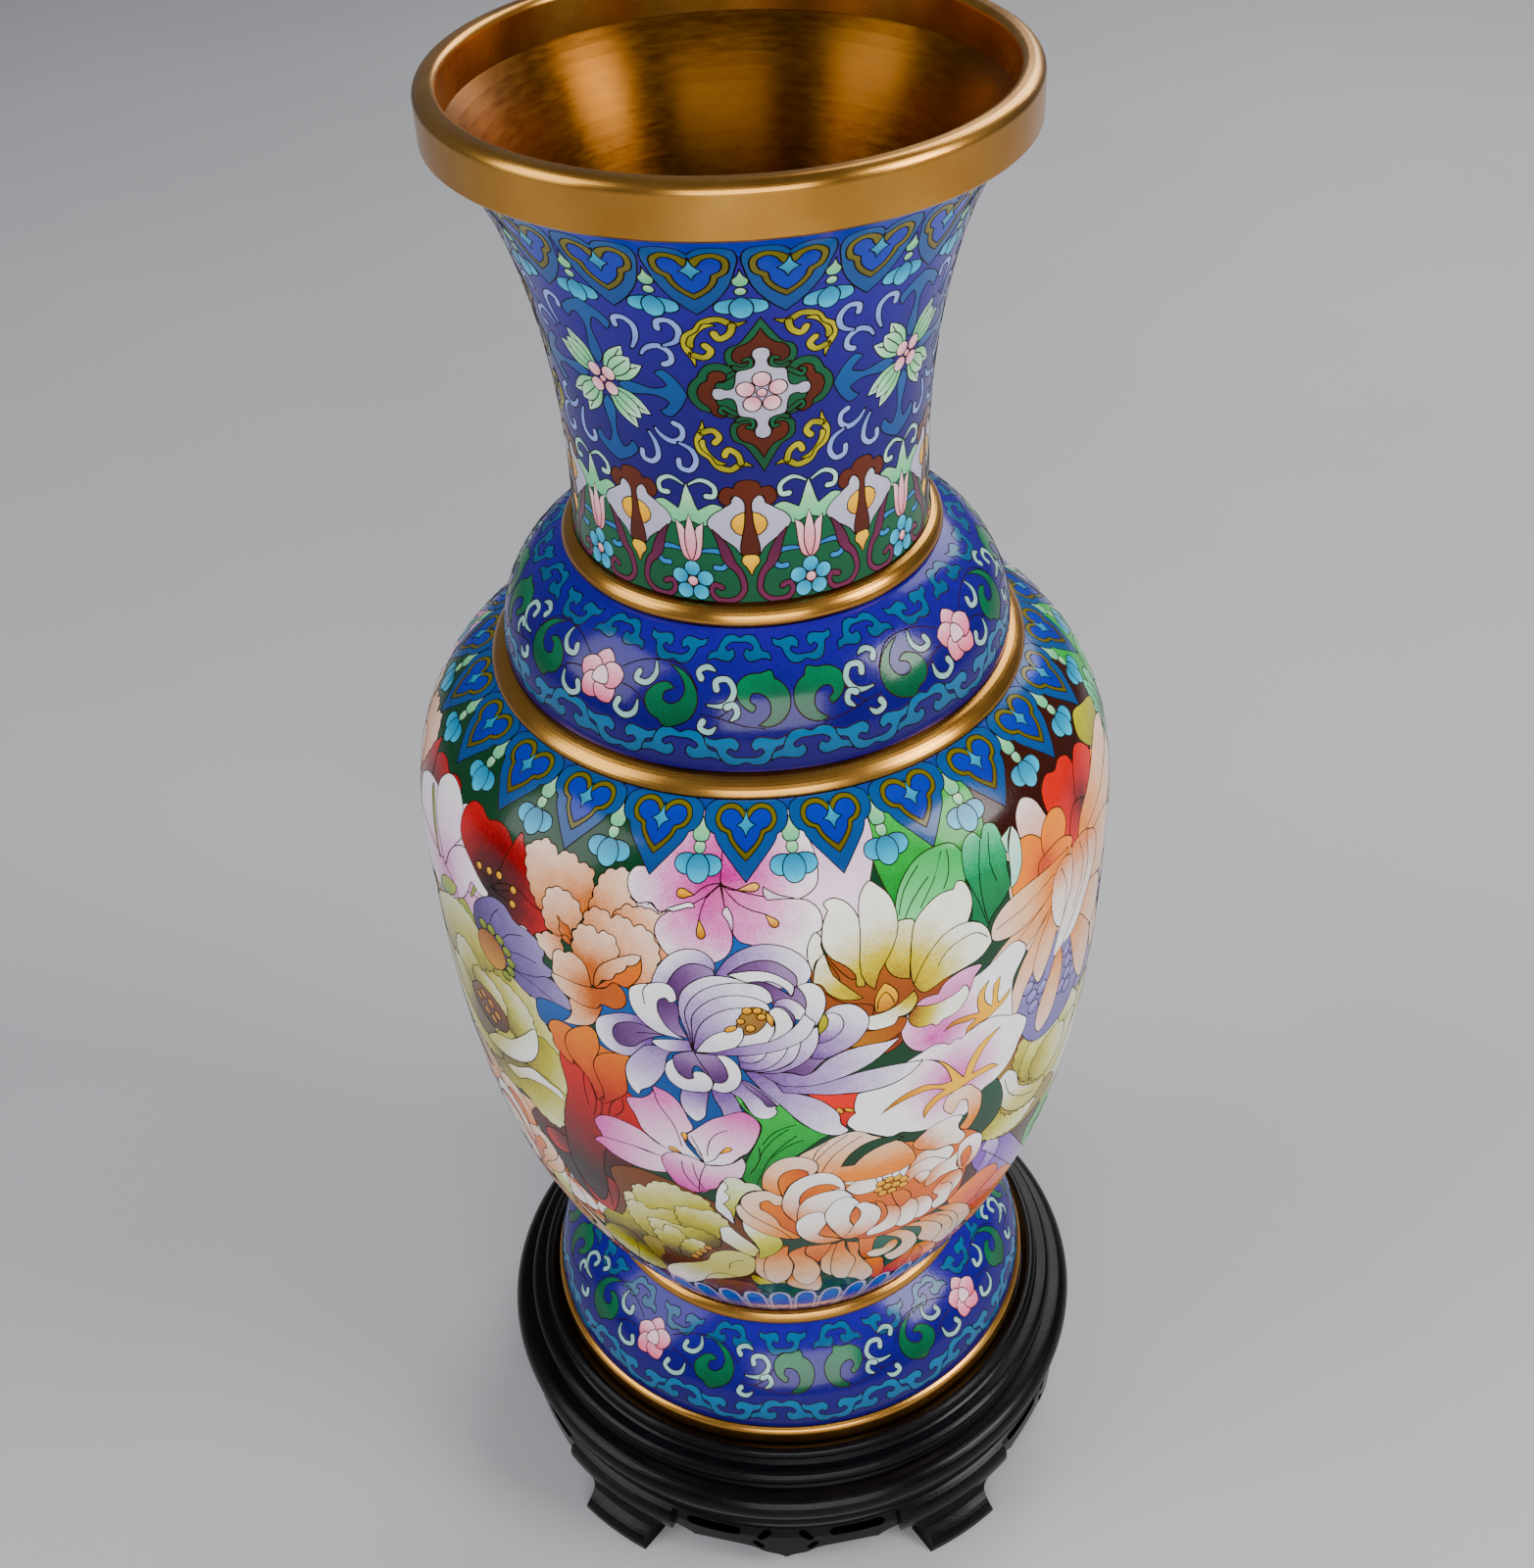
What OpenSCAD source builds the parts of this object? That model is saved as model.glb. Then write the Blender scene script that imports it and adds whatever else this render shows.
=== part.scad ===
// Cloisonne baluster vase on a carved hardwood stand.
// Millimetres, +Z up. The origin is the centre of the stand's base, on the surface it stands on.
// The side seen as the front faces -Y.

/* [Vase heights] */
// Height of the gilt ring round the foot
foot_ring_h = 6.9; // [5:0.1:9]
// Height of the domed foot between its two gilt rings
foot_h = 27.4; // [22:0.1:34]
// Height of the gilt ring at the waist
waist_ring_h = 4.5; // [3.5:0.1:6]
// Height from the waist ring up to the widest part of the belly
belly_h = 149.2; // [130:0.1:170]
// Height from the widest part of the belly up to the collar ring
shoulder_h = 53; // [45:0.1:62]
// Height of the gilt ring under the collar
collar_ring_h = 4.3; // [3.5:0.1:6]
// Height of the domed collar
collar_h = 28; // [23:0.1:33]
// Height of the gilt ring at the bottom of the neck
neck_ring_h = 4.5; // [3.5:0.1:6]
// Height of the flared neck
neck_h = 94.7; // [80:0.1:110]
// Height of the gilt mouth rim
rim_h = 11.1; // [9:0.1:14]

/* [Vase radii] */
// Radius of the foot just above its gilt ring
foot_r = 72.9; // [68:0.1:78]
// Radius of the foot where it meets the waist ring
foot_top_r = 55.5; // [52:0.1:58]
// Radius of the belly where it leaves the waist ring
waist_r = 54.6; // [51:0.1:57]
// Largest radius of the belly
belly_r = 89.3; // [84:0.1:95]
// Radius of the shoulder where it meets the collar ring
shoulder_r = 65.2; // [63:0.1:68]
// Radius of the collar at its bottom
collar_r = 62; // [59:0.1:64]
// Radius of the collar where it meets the neck ring
collar_top_r = 44.4; // [43:0.1:46]
// Radius of the neck at its bottom
neck_r = 42.6; // [41.5:0.1:44]
// Radius of the neck at its flared top
neck_top_r = 61.4; // [58:0.1:64]
// Outer radius of the gilt mouth rim
rim_r = 64.9; // [62:0.1:68]

/* [Metal and enamel] */
// Thickness of the enamel over the metal
enamel_t = 0.8; // [0.5:0.1:1.2]
// Thickness of the copper wall
copper_t = 1.2; // [0.8:0.1:2]
// Width of the border wires at the edges of the enamel
wire_w = 0.6; // [0.4:0.1:1]
// How far the border wires stand above the enamel
wire_proud = 0.1; // [0:0.05:0.2]
// How far the beaded rings bulge
ring_bulge = 2.4; // [1.5:0.1:3.5]

/* [Stand] */
// Height of the seat the vase's foot rests on
seat_h = 46; // [42:0.1:52]
// Gap all round between the vase's foot ring and the recess it stands in
seat_gap = 0.5; // [0.3:0.1:1.5]
// Largest radius of the stand's turned moulding
moulding_r = 90; // [86:0.1:96]
// Radius of the stand's feet at the floor
toe_r = 92.5; // [90:0.1:98]
// Height of the carved apron and feet
apron_top = 22; // [20:0.1:24]
// Angle of the first foot, seen from above, counted from the front towards +X
first_foot = 32; // [0:1:71]

/* [Hidden] */
step_count = 26;
round_n = 120;
bead_n = 10;
wall_t = enamel_t + copper_t;

// Heights of the joints between the vase's parts
z_foot = seat_h + foot_ring_h;
z_foot_top = z_foot + foot_h;
z_belly = z_foot_top + waist_ring_h;
z_widest = z_belly + belly_h;
z_shoulder = z_widest + shoulder_h;
z_collar = z_shoulder + collar_ring_h;
z_collar_top = z_collar + collar_h;
z_neck = z_collar_top + neck_ring_h;
z_neck_top = z_neck + neck_h;
z_rim = z_neck_top + rim_h;

// Outer curves of the vase as cubic curves, each from its lower end to its upper end
foot_curve = [
    [foot_r, z_foot],
    [foot_r + 0.05 * (foot_r - foot_top_r), z_foot + 0.444 * foot_h],
    [foot_top_r + 0.394 * (foot_r - foot_top_r), z_foot_top - 0.159 * foot_h],
    [foot_top_r, z_foot_top],
];
belly_curve = [
    [waist_r, z_belly],
    [waist_r + 0.755 * (belly_r - waist_r), z_belly + 0.262 * belly_h],
    [belly_r, z_widest - 0.443 * belly_h],
    [belly_r, z_widest],
];
shoulder_curve = [
    [belly_r, z_widest],
    [belly_r, z_widest + 0.217 * shoulder_h],
    [shoulder_r + 1.1 * (belly_r - shoulder_r), z_shoulder - 0.2 * shoulder_h],
    [shoulder_r, z_shoulder],
];
collar_curve = [
    [collar_r, z_collar],
    [collar_r + 0.094 * (collar_r - collar_top_r), z_collar + 0.446 * collar_h],
    [collar_top_r + 0.59 * (collar_r - collar_top_r), z_collar_top - 0.111 * collar_h],
    [collar_top_r, z_collar_top],
];
neck_curve = [
    [neck_r, z_neck],
    [neck_r - 0.154 * (neck_top_r - neck_r), z_neck + 0.335 * neck_h],
    [neck_top_r - 0.809 * (neck_top_r - neck_r), z_neck_top - 0.173 * neck_h],
    [neck_top_r, z_neck_top],
];

// Stand sizes that follow from the ones above
foot_ring_r = foot_r + 1.3;
recess_r = foot_ring_r + seat_gap;
seat_inner_r = recess_r - 14.7;
panel_r = seat_inner_r + 3.6;
panel_t = 5.6;
moulding_base = apron_top + 6;
waist_in_r = moulding_r - 14;
foot_half = 13;
apron_span = 72 - 2 * foot_half;
apron_r = moulding_r - 8.5;

// Cubic curve: point, direction, and a point set off to its outer side
function curve_at(c, t) =
    pow(1 - t, 3) * c[0] + 3 * pow(1 - t, 2) * t * c[1] + 3 * (1 - t) * t * t * c[2] + t * t * t * c[3];
function heading(c, t) =
    3 * pow(1 - t, 2) * (c[1] - c[0]) + 6 * (1 - t) * t * (c[2] - c[1]) + 3 * t * t * (c[3] - c[2]);
function beside(c, t, d) =
    let (v = heading(c, t)) curve_at(c, t) + d * [v[1], -v[0]] / norm(v);
function side(c, a, b, d, n) =
    [for (i = [0:n]) beside(c, a + (b - a) * i / n, d)];
function along(c, at, d) =
    [for (t = at) beside(c, t, d)];
function reversed(l) =
    [for (i = [len(l) - 1:-1:0]) l[i]];
function without_last(l) =
    [for (i = [0:len(l) - 2]) l[i]];
function arc(x, y, r, a, b, n) =
    [for (i = [0:n]) [x + r * cos(a + (b - a) * i / n), y + r * sin(a + (b - a) * i / n)]];

// Share of a curve taken up by a border wire at its start or its end
function wire_share(c, t) = wire_w / norm(heading(c, t));

// Places along a curve that every layer of the wall shares, from one border wire to the other
function enamel_steps(a, b) = [for (i = [0:step_count]) a + (b - a) * i / step_count];
function band_steps(c) = enamel_steps(wire_share(c, 0), 1 - wire_share(c, 1));
function wall_steps(c) = concat([0], band_steps(c), [1]);
belly_steps = enamel_steps(wire_share(belly_curve, 0), 1);
shoulder_steps = enamel_steps(0, 1 - wire_share(shoulder_curve, 1));

// A layer of wall that follows one curve between two offsets from it
module wall_band(c, at, outer, inner) {
    rotate_extrude($fn = round_n)
        polygon(concat(along(c, at, outer), reversed(along(c, at, inner))));
}

// A layer of wall over the belly and the shoulder together
module body_band(low, high, outer, inner) {
    rotate_extrude($fn = round_n)
        polygon(concat(
            without_last(along(belly_curve, low, outer)),
            along(shoulder_curve, high, outer),
            reversed(along(shoulder_curve, high, inner)),
            reversed(without_last(along(belly_curve, low, inner)))
        ));
}

// The two border wires of a band
module border_wires(low, high) {
    wall_band(low, [0, wire_share(low, 0)], wire_proud, -enamel_t);
    wall_band(high, [1 - wire_share(high, 1), 1], wire_proud, -enamel_t);
}

// A beaded ring that joins the wall below it to the wall above it
module bead_ring(low, high, inner_r) {
    low_in = beside(low, 1, -wall_t);
    low_out = beside(low, 1, wire_proud);
    high_out = beside(high, 0, wire_proud);
    high_in = beside(high, 0, -wall_t);
    lift = [ring_bulge, 0];
    bead = [low_out, low_out + lift, high_out + lift, high_out];
    rotate_extrude($fn = round_n)
        polygon(concat(
            [[inner_r, low_in[1]], low_in],
            side(bead, 0, 1, 0, bead_n),
            [high_in, [inner_r, high_in[1]]]
        ));
}

// Vase

module mouth_rim() {
    top_in = beside(neck_curve, 1, -wall_t);
    inner = top_in[0] - 0.2;
    color("gold") rotate_extrude($fn = round_n)
        polygon(concat(
            [[inner, top_in[1]], top_in, beside(neck_curve, 1, wire_proud)],
            [[rim_r - 0.6, z_neck_top - 0.4]],
            [[rim_r, z_neck_top + 0.2]],
            arc(rim_r - 2.4, z_rim - 2.4, 2.4, 0, 90, bead_n),
            arc(inner + 1.6, z_rim - 1.6, 1.6, 90, 180, bead_n)
        ));
}

module neck_shell() {
    color("peru") wall_band(neck_curve, wall_steps(neck_curve), -enamel_t, -wall_t);
}

module neck_enamel() {
    color("mediumblue") wall_band(neck_curve, band_steps(neck_curve), 0, -enamel_t);
}

module neck_wires() {
    color("gold") border_wires(neck_curve, neck_curve);
}

module neck_ring() {
    color("gold") bead_ring(collar_curve, neck_curve, neck_r - wall_t - 1);
}

module collar_shell() {
    color("peru") wall_band(collar_curve, wall_steps(collar_curve), -enamel_t, -wall_t);
}

module collar_enamel() {
    color("mediumblue") wall_band(collar_curve, band_steps(collar_curve), 0, -enamel_t);
}

module collar_wires() {
    color("gold") border_wires(collar_curve, collar_curve);
}

module collar_ring() {
    color("gold") bead_ring(shoulder_curve, collar_curve, collar_r - wall_t - 1.5);
}

module belly_shell() {
    color("peru") body_band(concat([0], belly_steps), concat(shoulder_steps, [1]), -enamel_t, -wall_t);
}

module belly_enamel() {
    color("mediumblue") body_band(belly_steps, shoulder_steps, 0, -enamel_t);
}

module belly_wires() {
    color("gold") border_wires(belly_curve, shoulder_curve);
}

module waist_ring() {
    color("gold") bead_ring(foot_curve, belly_curve, waist_r - wall_t - 2.6);
}

module bottom_plate() {
    base = beside(belly_curve, 0, -wall_t);
    color("peru") translate([0, 0, base[1]]) cylinder(h = 1.2, r = base[0] - 0.2, $fn = round_n);
}

module foot_shell() {
    color("peru") wall_band(foot_curve, wall_steps(foot_curve), -enamel_t, -wall_t);
}

module foot_enamel() {
    color("mediumblue") wall_band(foot_curve, band_steps(foot_curve), 0, -enamel_t);
}

module foot_wires() {
    color("gold") border_wires(foot_curve, foot_curve);
}

module foot_ring() {
    top_in = beside(foot_curve, 0, -wall_t);
    color("gold") rotate_extrude($fn = round_n)
        polygon(concat(
            [[foot_r - 7, seat_h]],
            arc(foot_ring_r - 1.6, seat_h + 1.6, 1.6, 270, 360, bead_n),
            arc(foot_ring_r - 1.8, z_foot - 1.8, 1.8, 0, 60, bead_n),
            [beside(foot_curve, 0, wire_proud), top_in, [foot_r - 7, top_in[1]]]
        ));
}

// Stand

// Turned top: a lip round the recess, two beads, and a bull-nose at the widest place
module stand_moulding() {
    nose = 4.8;
    color("saddlebrown") rotate_extrude($fn = round_n)
        polygon(concat(
            [[seat_inner_r, moulding_base], [moulding_r - 5.6, moulding_base]],
            arc(moulding_r - nose, moulding_base + 5.2, nose, -75, 80, 16),
            [[moulding_r - 6.4, moulding_base + 10.3], [moulding_r - 6.9, moulding_base + 11.1]],
            arc(moulding_r - 8.6, moulding_base + 13.3, 2.5, -40, 95, bead_n),
            [[moulding_r - 10.4, moulding_base + 15.9], [moulding_r - 11, moulding_base + 16.4]],
            arc(moulding_r - 12.8, moulding_base + 18.5, 1.9, -45, 120, bead_n),
            [[recess_r, seat_h + 1.2], [recess_r, seat_h], [seat_inner_r + 4, seat_h]],
            [[seat_inner_r + 4, seat_h - 6], [seat_inner_r, seat_h - 6]]
        ));
}

// Disc let into the top, which closes the middle of the seat
module stand_panel() {
    color("saddlebrown") translate([0, 0, seat_h - 6]) cylinder(h = panel_t, r = panel_r, $fn = round_n);
}

// Hollow-moulded ring between the turned top and the carved apron
module stand_waist() {
    color("saddlebrown") rotate_extrude($fn = round_n)
        polygon(concat(
            [[waist_in_r, apron_top], [moulding_r - 2.6, apron_top], [moulding_r - 2.2, apron_top + 0.9]],
            arc(moulding_r - 0.6, apron_top + 3.6, 3.2, 225, 135, bead_n),
            [[moulding_r - 4, moulding_base], [waist_in_r, moulding_base]]
        ));
}

// Outer face of a foot from its shoulder down to its toe
foot_face = concat(
    side([[moulding_r - 2.8, apron_top], [moulding_r + 1.6, apron_top - 1.5],
        [moulding_r - 0.2, apron_top - 9], [moulding_r - 2.6, 10.5]], 0, 1, 0, 10),
    side([[moulding_r - 2.6, 10.5], [moulding_r - 3.8, 6.5],
        [toe_r - 1.6, 6.2], [toe_r, 2]], 0.1, 1, 0, 8)
);

// One side of a foot's outline: wide at the shoulder, narrow at the ankle, a little wider at the toe
foot_edge = concat(
    [[24, apron_top + 1]],
    side([[24, apron_top - 8.6], [17, apron_top - 9], [16.5, 10], [12.5, 7.8]], 0, 1, 0, 8),
    side([[12.5, 7.8], [10.6, 6.6], [10.8, 3.4], [12.6, -1]], 0.15, 1, 0, 6)
);
foot_other_edge = reversed([for (p = foot_edge) [-p[0], p[1]]]);

// A foot cut from the ring of the apron, with its outline sawn through and its face carved
module stand_foot() {
    intersection() {
        rotate([0, 0, -foot_half]) rotate_extrude(angle = 2 * foot_half, $fn = round_n)
            polygon(concat(foot_face, [[toe_r, 0], [moulding_r - 7, 0], [apron_r - 1, 9], [apron_r - 1, apron_top]]));
        translate([60, 0, 0]) rotate([90, 0, 90]) linear_extrude(height = 50)
            polygon(concat(foot_edge, foot_other_edge));
    }
}

// Lower edge of the apron: high beside the feet, two brackets, and a drop in the middle
function apron_edge(half) = concat(
    side([[half, 13.5], [half - 6, 13.2], [half - 10, 13], [half - 12, 10.6]], 0, 1, 0, 6),
    side([[half - 12, 10.6], [half - 15, 12], [10, 12.6], [8, 9.6]], 0.12, 1, 0, 6),
    side([[8, 9.6], [6, 7.4], [3, 8.4], [0, 5.6]], 0.12, 1, 0, 6)
);

module slot_shape(length, height) {
    square([length - height, height], center = true);
    for (s = [-1, 1]) translate([s * (length - height) / 2, 0]) circle(d = height, $fn = 24);
}

// Pierced opening sawn through the apron at an angle from its middle
module apron_slot(at, z, length, height, tilt) {
    rotate([0, 0, at]) translate([apron_r - 6, 0, z]) rotate([90, 0, 90]) linear_extrude(height = 16)
        rotate(tilt) slot_shape(length, height);
}

module stand_apron() {
    half = 40;
    edge = apron_edge(half);
    difference() {
        intersection() {
            rotate([0, 0, -apron_span / 2]) rotate_extrude(angle = apron_span, $fn = round_n)
                polygon([[apron_r, 0], [apron_r + 5, 0], [apron_r + 5.6, apron_top - 5],
                    [apron_r + 4.4, apron_top], [apron_r, apron_top]]);
            translate([50, 0, 0]) rotate([90, 0, 90]) linear_extrude(height = 60)
                polygon(concat(
                    [[half, apron_top + 1]], edge,
                    reversed([for (p = edge) [-p[0], p[1]]]), [[-half, apron_top + 1]]
                ));
        }
        for (s = [-1, 1]) {
            apron_slot(s * 14.5, 18.2, 17, 3.4, 0);
            apron_slot(s * 5.4, 12.4, 4.6, 2, s * 50);
            apron_slot(s * 4.2, 17.6, 5.6, 2.4, -s * 50);
        }
    }
}

module placed(at) {
    rotate([0, 0, at - 90]) children();
}

module foot_number(k) {
    color("saddlebrown") placed(first_foot + 72 * (k - 1)) stand_foot();
}

module apron_number(k) {
    color("saddlebrown") placed(first_foot + 36 + 72 * (k - 1)) stand_apron();
}

module stand_apron_1() { apron_number(1); }
module stand_apron_2() { apron_number(2); }
module stand_apron_3() { apron_number(3); }
module stand_apron_4() { apron_number(4); }
module stand_apron_5() { apron_number(5); }
module stand_foot_1() { foot_number(1); }
module stand_foot_2() { foot_number(2); }
module stand_foot_3() { foot_number(3); }
module stand_foot_4() { foot_number(4); }
module stand_foot_5() { foot_number(5); }

mouth_rim();
neck_shell();
neck_enamel();
neck_wires();
neck_ring();
collar_shell();
collar_enamel();
collar_wires();
collar_ring();
belly_shell();
belly_enamel();
belly_wires();
waist_ring();
bottom_plate();
foot_shell();
foot_enamel();
foot_wires();
foot_ring();
stand_moulding();
stand_panel();
stand_waist();
stand_apron_1();
stand_apron_2();
stand_apron_3();
stand_apron_4();
stand_apron_5();
stand_foot_1();
stand_foot_2();
stand_foot_3();
stand_foot_4();
stand_foot_5();
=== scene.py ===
"""Looks of a cloisonne vase on its carved stand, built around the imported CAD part.

Each enamel band is drawn flat, in millimetres: x runs round the vase from the front towards +X,
and s runs up along the wall from the band's lower edge. A Band turns the drawing into enamel cells
and the metal wires between them, and wraps both round the wall that the CAD gives.
"""

import math
from collections import namedtuple

import bpy
import numpy as np
from mathutils import Matrix, Vector
from mathutils.geometry import delaunay_2d_cdt


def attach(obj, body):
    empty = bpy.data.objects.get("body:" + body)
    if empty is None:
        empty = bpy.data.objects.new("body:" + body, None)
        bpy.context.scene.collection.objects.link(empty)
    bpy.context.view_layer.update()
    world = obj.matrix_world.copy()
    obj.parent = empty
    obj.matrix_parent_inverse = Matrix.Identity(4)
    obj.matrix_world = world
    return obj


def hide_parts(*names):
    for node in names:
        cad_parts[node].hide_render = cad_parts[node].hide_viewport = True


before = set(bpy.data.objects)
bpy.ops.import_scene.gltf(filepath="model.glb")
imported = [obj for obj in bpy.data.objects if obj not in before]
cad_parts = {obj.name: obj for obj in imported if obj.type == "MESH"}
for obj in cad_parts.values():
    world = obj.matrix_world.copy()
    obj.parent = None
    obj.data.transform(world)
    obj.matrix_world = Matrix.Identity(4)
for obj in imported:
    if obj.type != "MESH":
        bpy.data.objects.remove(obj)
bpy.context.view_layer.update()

MM = 0.001
# Thickness of the enamel and width of the border wires in the CAD part, in millimetres
ENAMEL_T = 0.8
WIRE_W = 0.6
# Shortest step along a drawn curve, and the smallest gap that counts, in millimetres
STEP = 0.5
SMALL = 0.01


# ---------------------------------------------------------------- curves

def tangent(before, here, after):
    """Direction of a smooth curve at a point, from its two neighbours."""
    back = here - before
    ahead = after - here
    lb = np.hypot(*back) + 1e-9
    la = np.hypot(*ahead) + 1e-9
    return (back / lb * la + ahead / la * lb) / (la + lb)


def smooth(points, closed=True, fine=0.2):
    """A curve through given points, with a point for each bend of `fine` radians.

    A point with a third value is a corner.
    """
    p = np.array([q[:2] for q in points], float)
    n = len(p)
    corner = [len(q) > 2 for q in points]
    out = []
    for i in range(n if closed else n - 1):
        j = (i + 1) % n
        d = p[j] - p[i]
        length = np.hypot(*d) + 1e-9
        d = d / length
        free_start = corner[i] or (not closed and i == 0)
        free_end = corner[j] or (not closed and j == n - 1)
        start = None if free_start else tangent(p[i - 1], p[i], p[j])
        end = None if free_end else tangent(p[i], p[j], p[(j + 1) % n])
        if start is None and end is None:
            start = end = d
        elif start is None:
            start = 1.5 * d - 0.5 * end
        elif end is None:
            end = 1.5 * d - 0.5 * start
        bend = 0
        for v in (start, end):
            bend += math.acos(max(-1, min(1, float(v @ d) / (np.hypot(*v) + 1e-9))))
        count = int(math.ceil(min(length / STEP, 0.6 + bend / fine)))
        for k in range(max(1, count)):
            t = k / max(1, count)
            h = length * (start * (t - 2 * t * t + t ** 3) + end * (t ** 3 - t * t))
            out.append(p[i] + (p[j] - p[i]) * (3 * t * t - 2 * t ** 3) + h)
    if not closed:
        out.append(p[-1])
    return np.array(out)


def stroke(points, widths):
    """Outline of a line with a changing width, with round ends where it is wide."""
    round_from = 0.25
    spine = smooth(points, closed=False)
    if np.isscalar(widths):
        widths = [widths, widths]
    far = np.concatenate([[0], np.cumsum(np.hypot(*np.diff(spine, axis=0).T))])
    half = np.interp(far / far[-1], np.linspace(0, 1, len(widths)), widths) / 2
    run = np.gradient(spine, axis=0)
    run /= np.hypot(*run.T)[:, None] + 1e-9
    left = np.stack([-run[:, 1], run[:, 0]], 1) * half[:, None]

    def cap(k, sign):
        a = np.radians([45, 0, -45])[:, None] * sign
        return spine[k] + sign * (run[k] * np.cos(a) * half[k] - left[k] * np.sin(a))

    parts = [spine - left]
    if half[-1] >= round_from:
        parts.append(cap(-1, 1))
    parts.append((spine + left)[::-1])
    if half[0] >= round_from:
        parts.append(cap(0, -1))
    return np.concatenate(parts)


def oval(x, y, rx, ry=None, turn=0, n=None):
    """Outline of an ellipse."""
    ry = rx if ry is None else ry
    n = n or max(9, int(7 + 3 * math.sqrt(max(rx, ry))))
    a = np.arange(n) / n * math.tau
    c, s = math.cos(math.radians(turn)), math.sin(math.radians(turn))
    u, v = rx * np.cos(a), ry * np.sin(a)
    return np.stack([x + c * u - s * v, y + s * u + c * v], 1)


def mirrored(points):
    """Half an outline, from its first point on the axis to its last, closed by its mirror image."""
    points = list(points)
    back = [(-q[0],) + tuple(q[1:]) for q in reversed(points) if abs(q[0]) > 1e-6]
    return points + back


def inside(points, outline):
    """Which of the points lie inside a closed outline, by winding number."""
    px, py = points[:, 0][:, None], points[:, 1][:, None]
    x0, y0 = outline[:, 0], outline[:, 1]
    x1, y1 = np.roll(x0, -1), np.roll(y0, -1)
    side = (x1 - x0) * (py - y0) - (px - x0) * (y1 - y0)
    up = (y0 <= py) & (y1 > py) & (side > 0)
    down = (y0 > py) & (y1 <= py) & (side < 0)
    return (up.sum(1) - down.sum(1)) != 0


# ---------------------------------------------------------------- colours

def ink(code):
    """Linear colour from a hexadecimal one."""
    v = [int(code[k:k + 2], 16) / 255 for k in (0, 2, 4)]
    return tuple(c / 12.92 if c <= 0.04045 else ((c + 0.055) / 1.055) ** 2.4 for c in v)


def shades(*codes):
    """Three inks of a cell, from its base through its middle to its tip."""
    inks = [ink(c) for c in codes]
    if len(inks) == 1:
        return inks * 3
    if len(inks) == 2:
        return [inks[0], tuple((a + b) / 2 for a, b in zip(*inks)), inks[1]]
    return inks


# ---------------------------------------------------------------- bands of enamel

# A cell of enamel: its outlines, three inks, the points they run between, and its motif's name
Cell = namedtuple("Cell", "outlines inks run group")


def outer_curve(node):
    """Radius, height and length along the outside of a band of enamel, in millimetres.

    A point of the CAD's enamel is on the outside if another lies one thickness in from it.
    """
    slack, further_in, fine = 0.04, 0.1, 0.004
    v = np.array([p.co[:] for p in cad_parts[node].data.vertices]) / MM
    flat = np.unique(np.round(np.stack([np.hypot(v[:, 0], v[:, 1]), v[:, 2]], 1), 2), axis=0)
    gap = np.hypot(*(flat[:, None] - flat[None]).transpose(2, 0, 1))
    partner = (abs(gap - ENAMEL_T) < slack) & (flat[:, None, 0] > flat[None, :, 0] + further_in)
    outer = flat[partner.any(1)]
    outer = outer[np.argsort(outer[:, 1])]
    keep = [outer[0]]
    for p in outer[1:]:
        if np.hypot(*(p - keep[-1])) > STEP:
            keep.append(p)
    keep = np.array(keep)
    first = keep[0] + (keep[0] - keep[1]) * WIRE_W / np.hypot(*(keep[0] - keep[1]))
    last = keep[-1] + (keep[-1] - keep[-2]) * WIRE_W / np.hypot(*(keep[-1] - keep[-2]))
    curve = smooth(np.concatenate([[first], keep, [last]]), closed=False, fine=fine)
    far = np.concatenate([[0], np.cumsum(np.hypot(*np.diff(curve, axis=0).T))])
    return curve[:, 0], curve[:, 1], far


class Band:
    """One band of the wall and the drawing on it.

    The radius, in millimetres, sets how long a degree round the vase is in the drawing, and the
    grid how far apart the loose points of its mesh are. A vein holds its line and the number of
    cells under it.
    """

    def __init__(self, name, radius, grid):
        self.name = name
        self.r, self.z, self.far = outer_curve(name + "_enamel")
        slope = np.stack([np.gradient(self.z), -np.gradient(self.r)], 1)
        self.out = slope / np.hypot(*slope.T)[:, None]
        self.mm_per_degree = radius * math.pi / 180
        self.around = 360 * self.mm_per_degree
        self.top = self.far[-1]
        self.grid = grid
        self.cells = []
        self.veins = []

    def wrap(self, flat, lift):
        """Points of the drawing on the wall, raised by some millimetres, and the wall's normals."""
        r, z = np.interp(flat[:, 1], self.far, self.r), np.interp(flat[:, 1], self.far, self.z)
        nr, nz = (np.interp(flat[:, 1], self.far, self.out[:, k]) for k in (0, 1))
        a = np.radians(flat[:, 0] / self.mm_per_degree)
        r = r + nr * lift
        place = np.stack([r * np.sin(a), -r * np.cos(a), z + nz * lift], 1) * MM
        return place, np.stack([nr * np.sin(a), -nr * np.cos(a), nz], 1)

    def copies(self, outline):
        """An outline, and its copy one turn round where it crosses the back seam."""
        out = [outline]
        half = self.around / 2
        if outline[:, 0].min() < -half:
            out.append(outline + [self.around, 0])
        if outline[:, 0].max() > half:
            out.append(outline - [self.around, 0])
        return out


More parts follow.
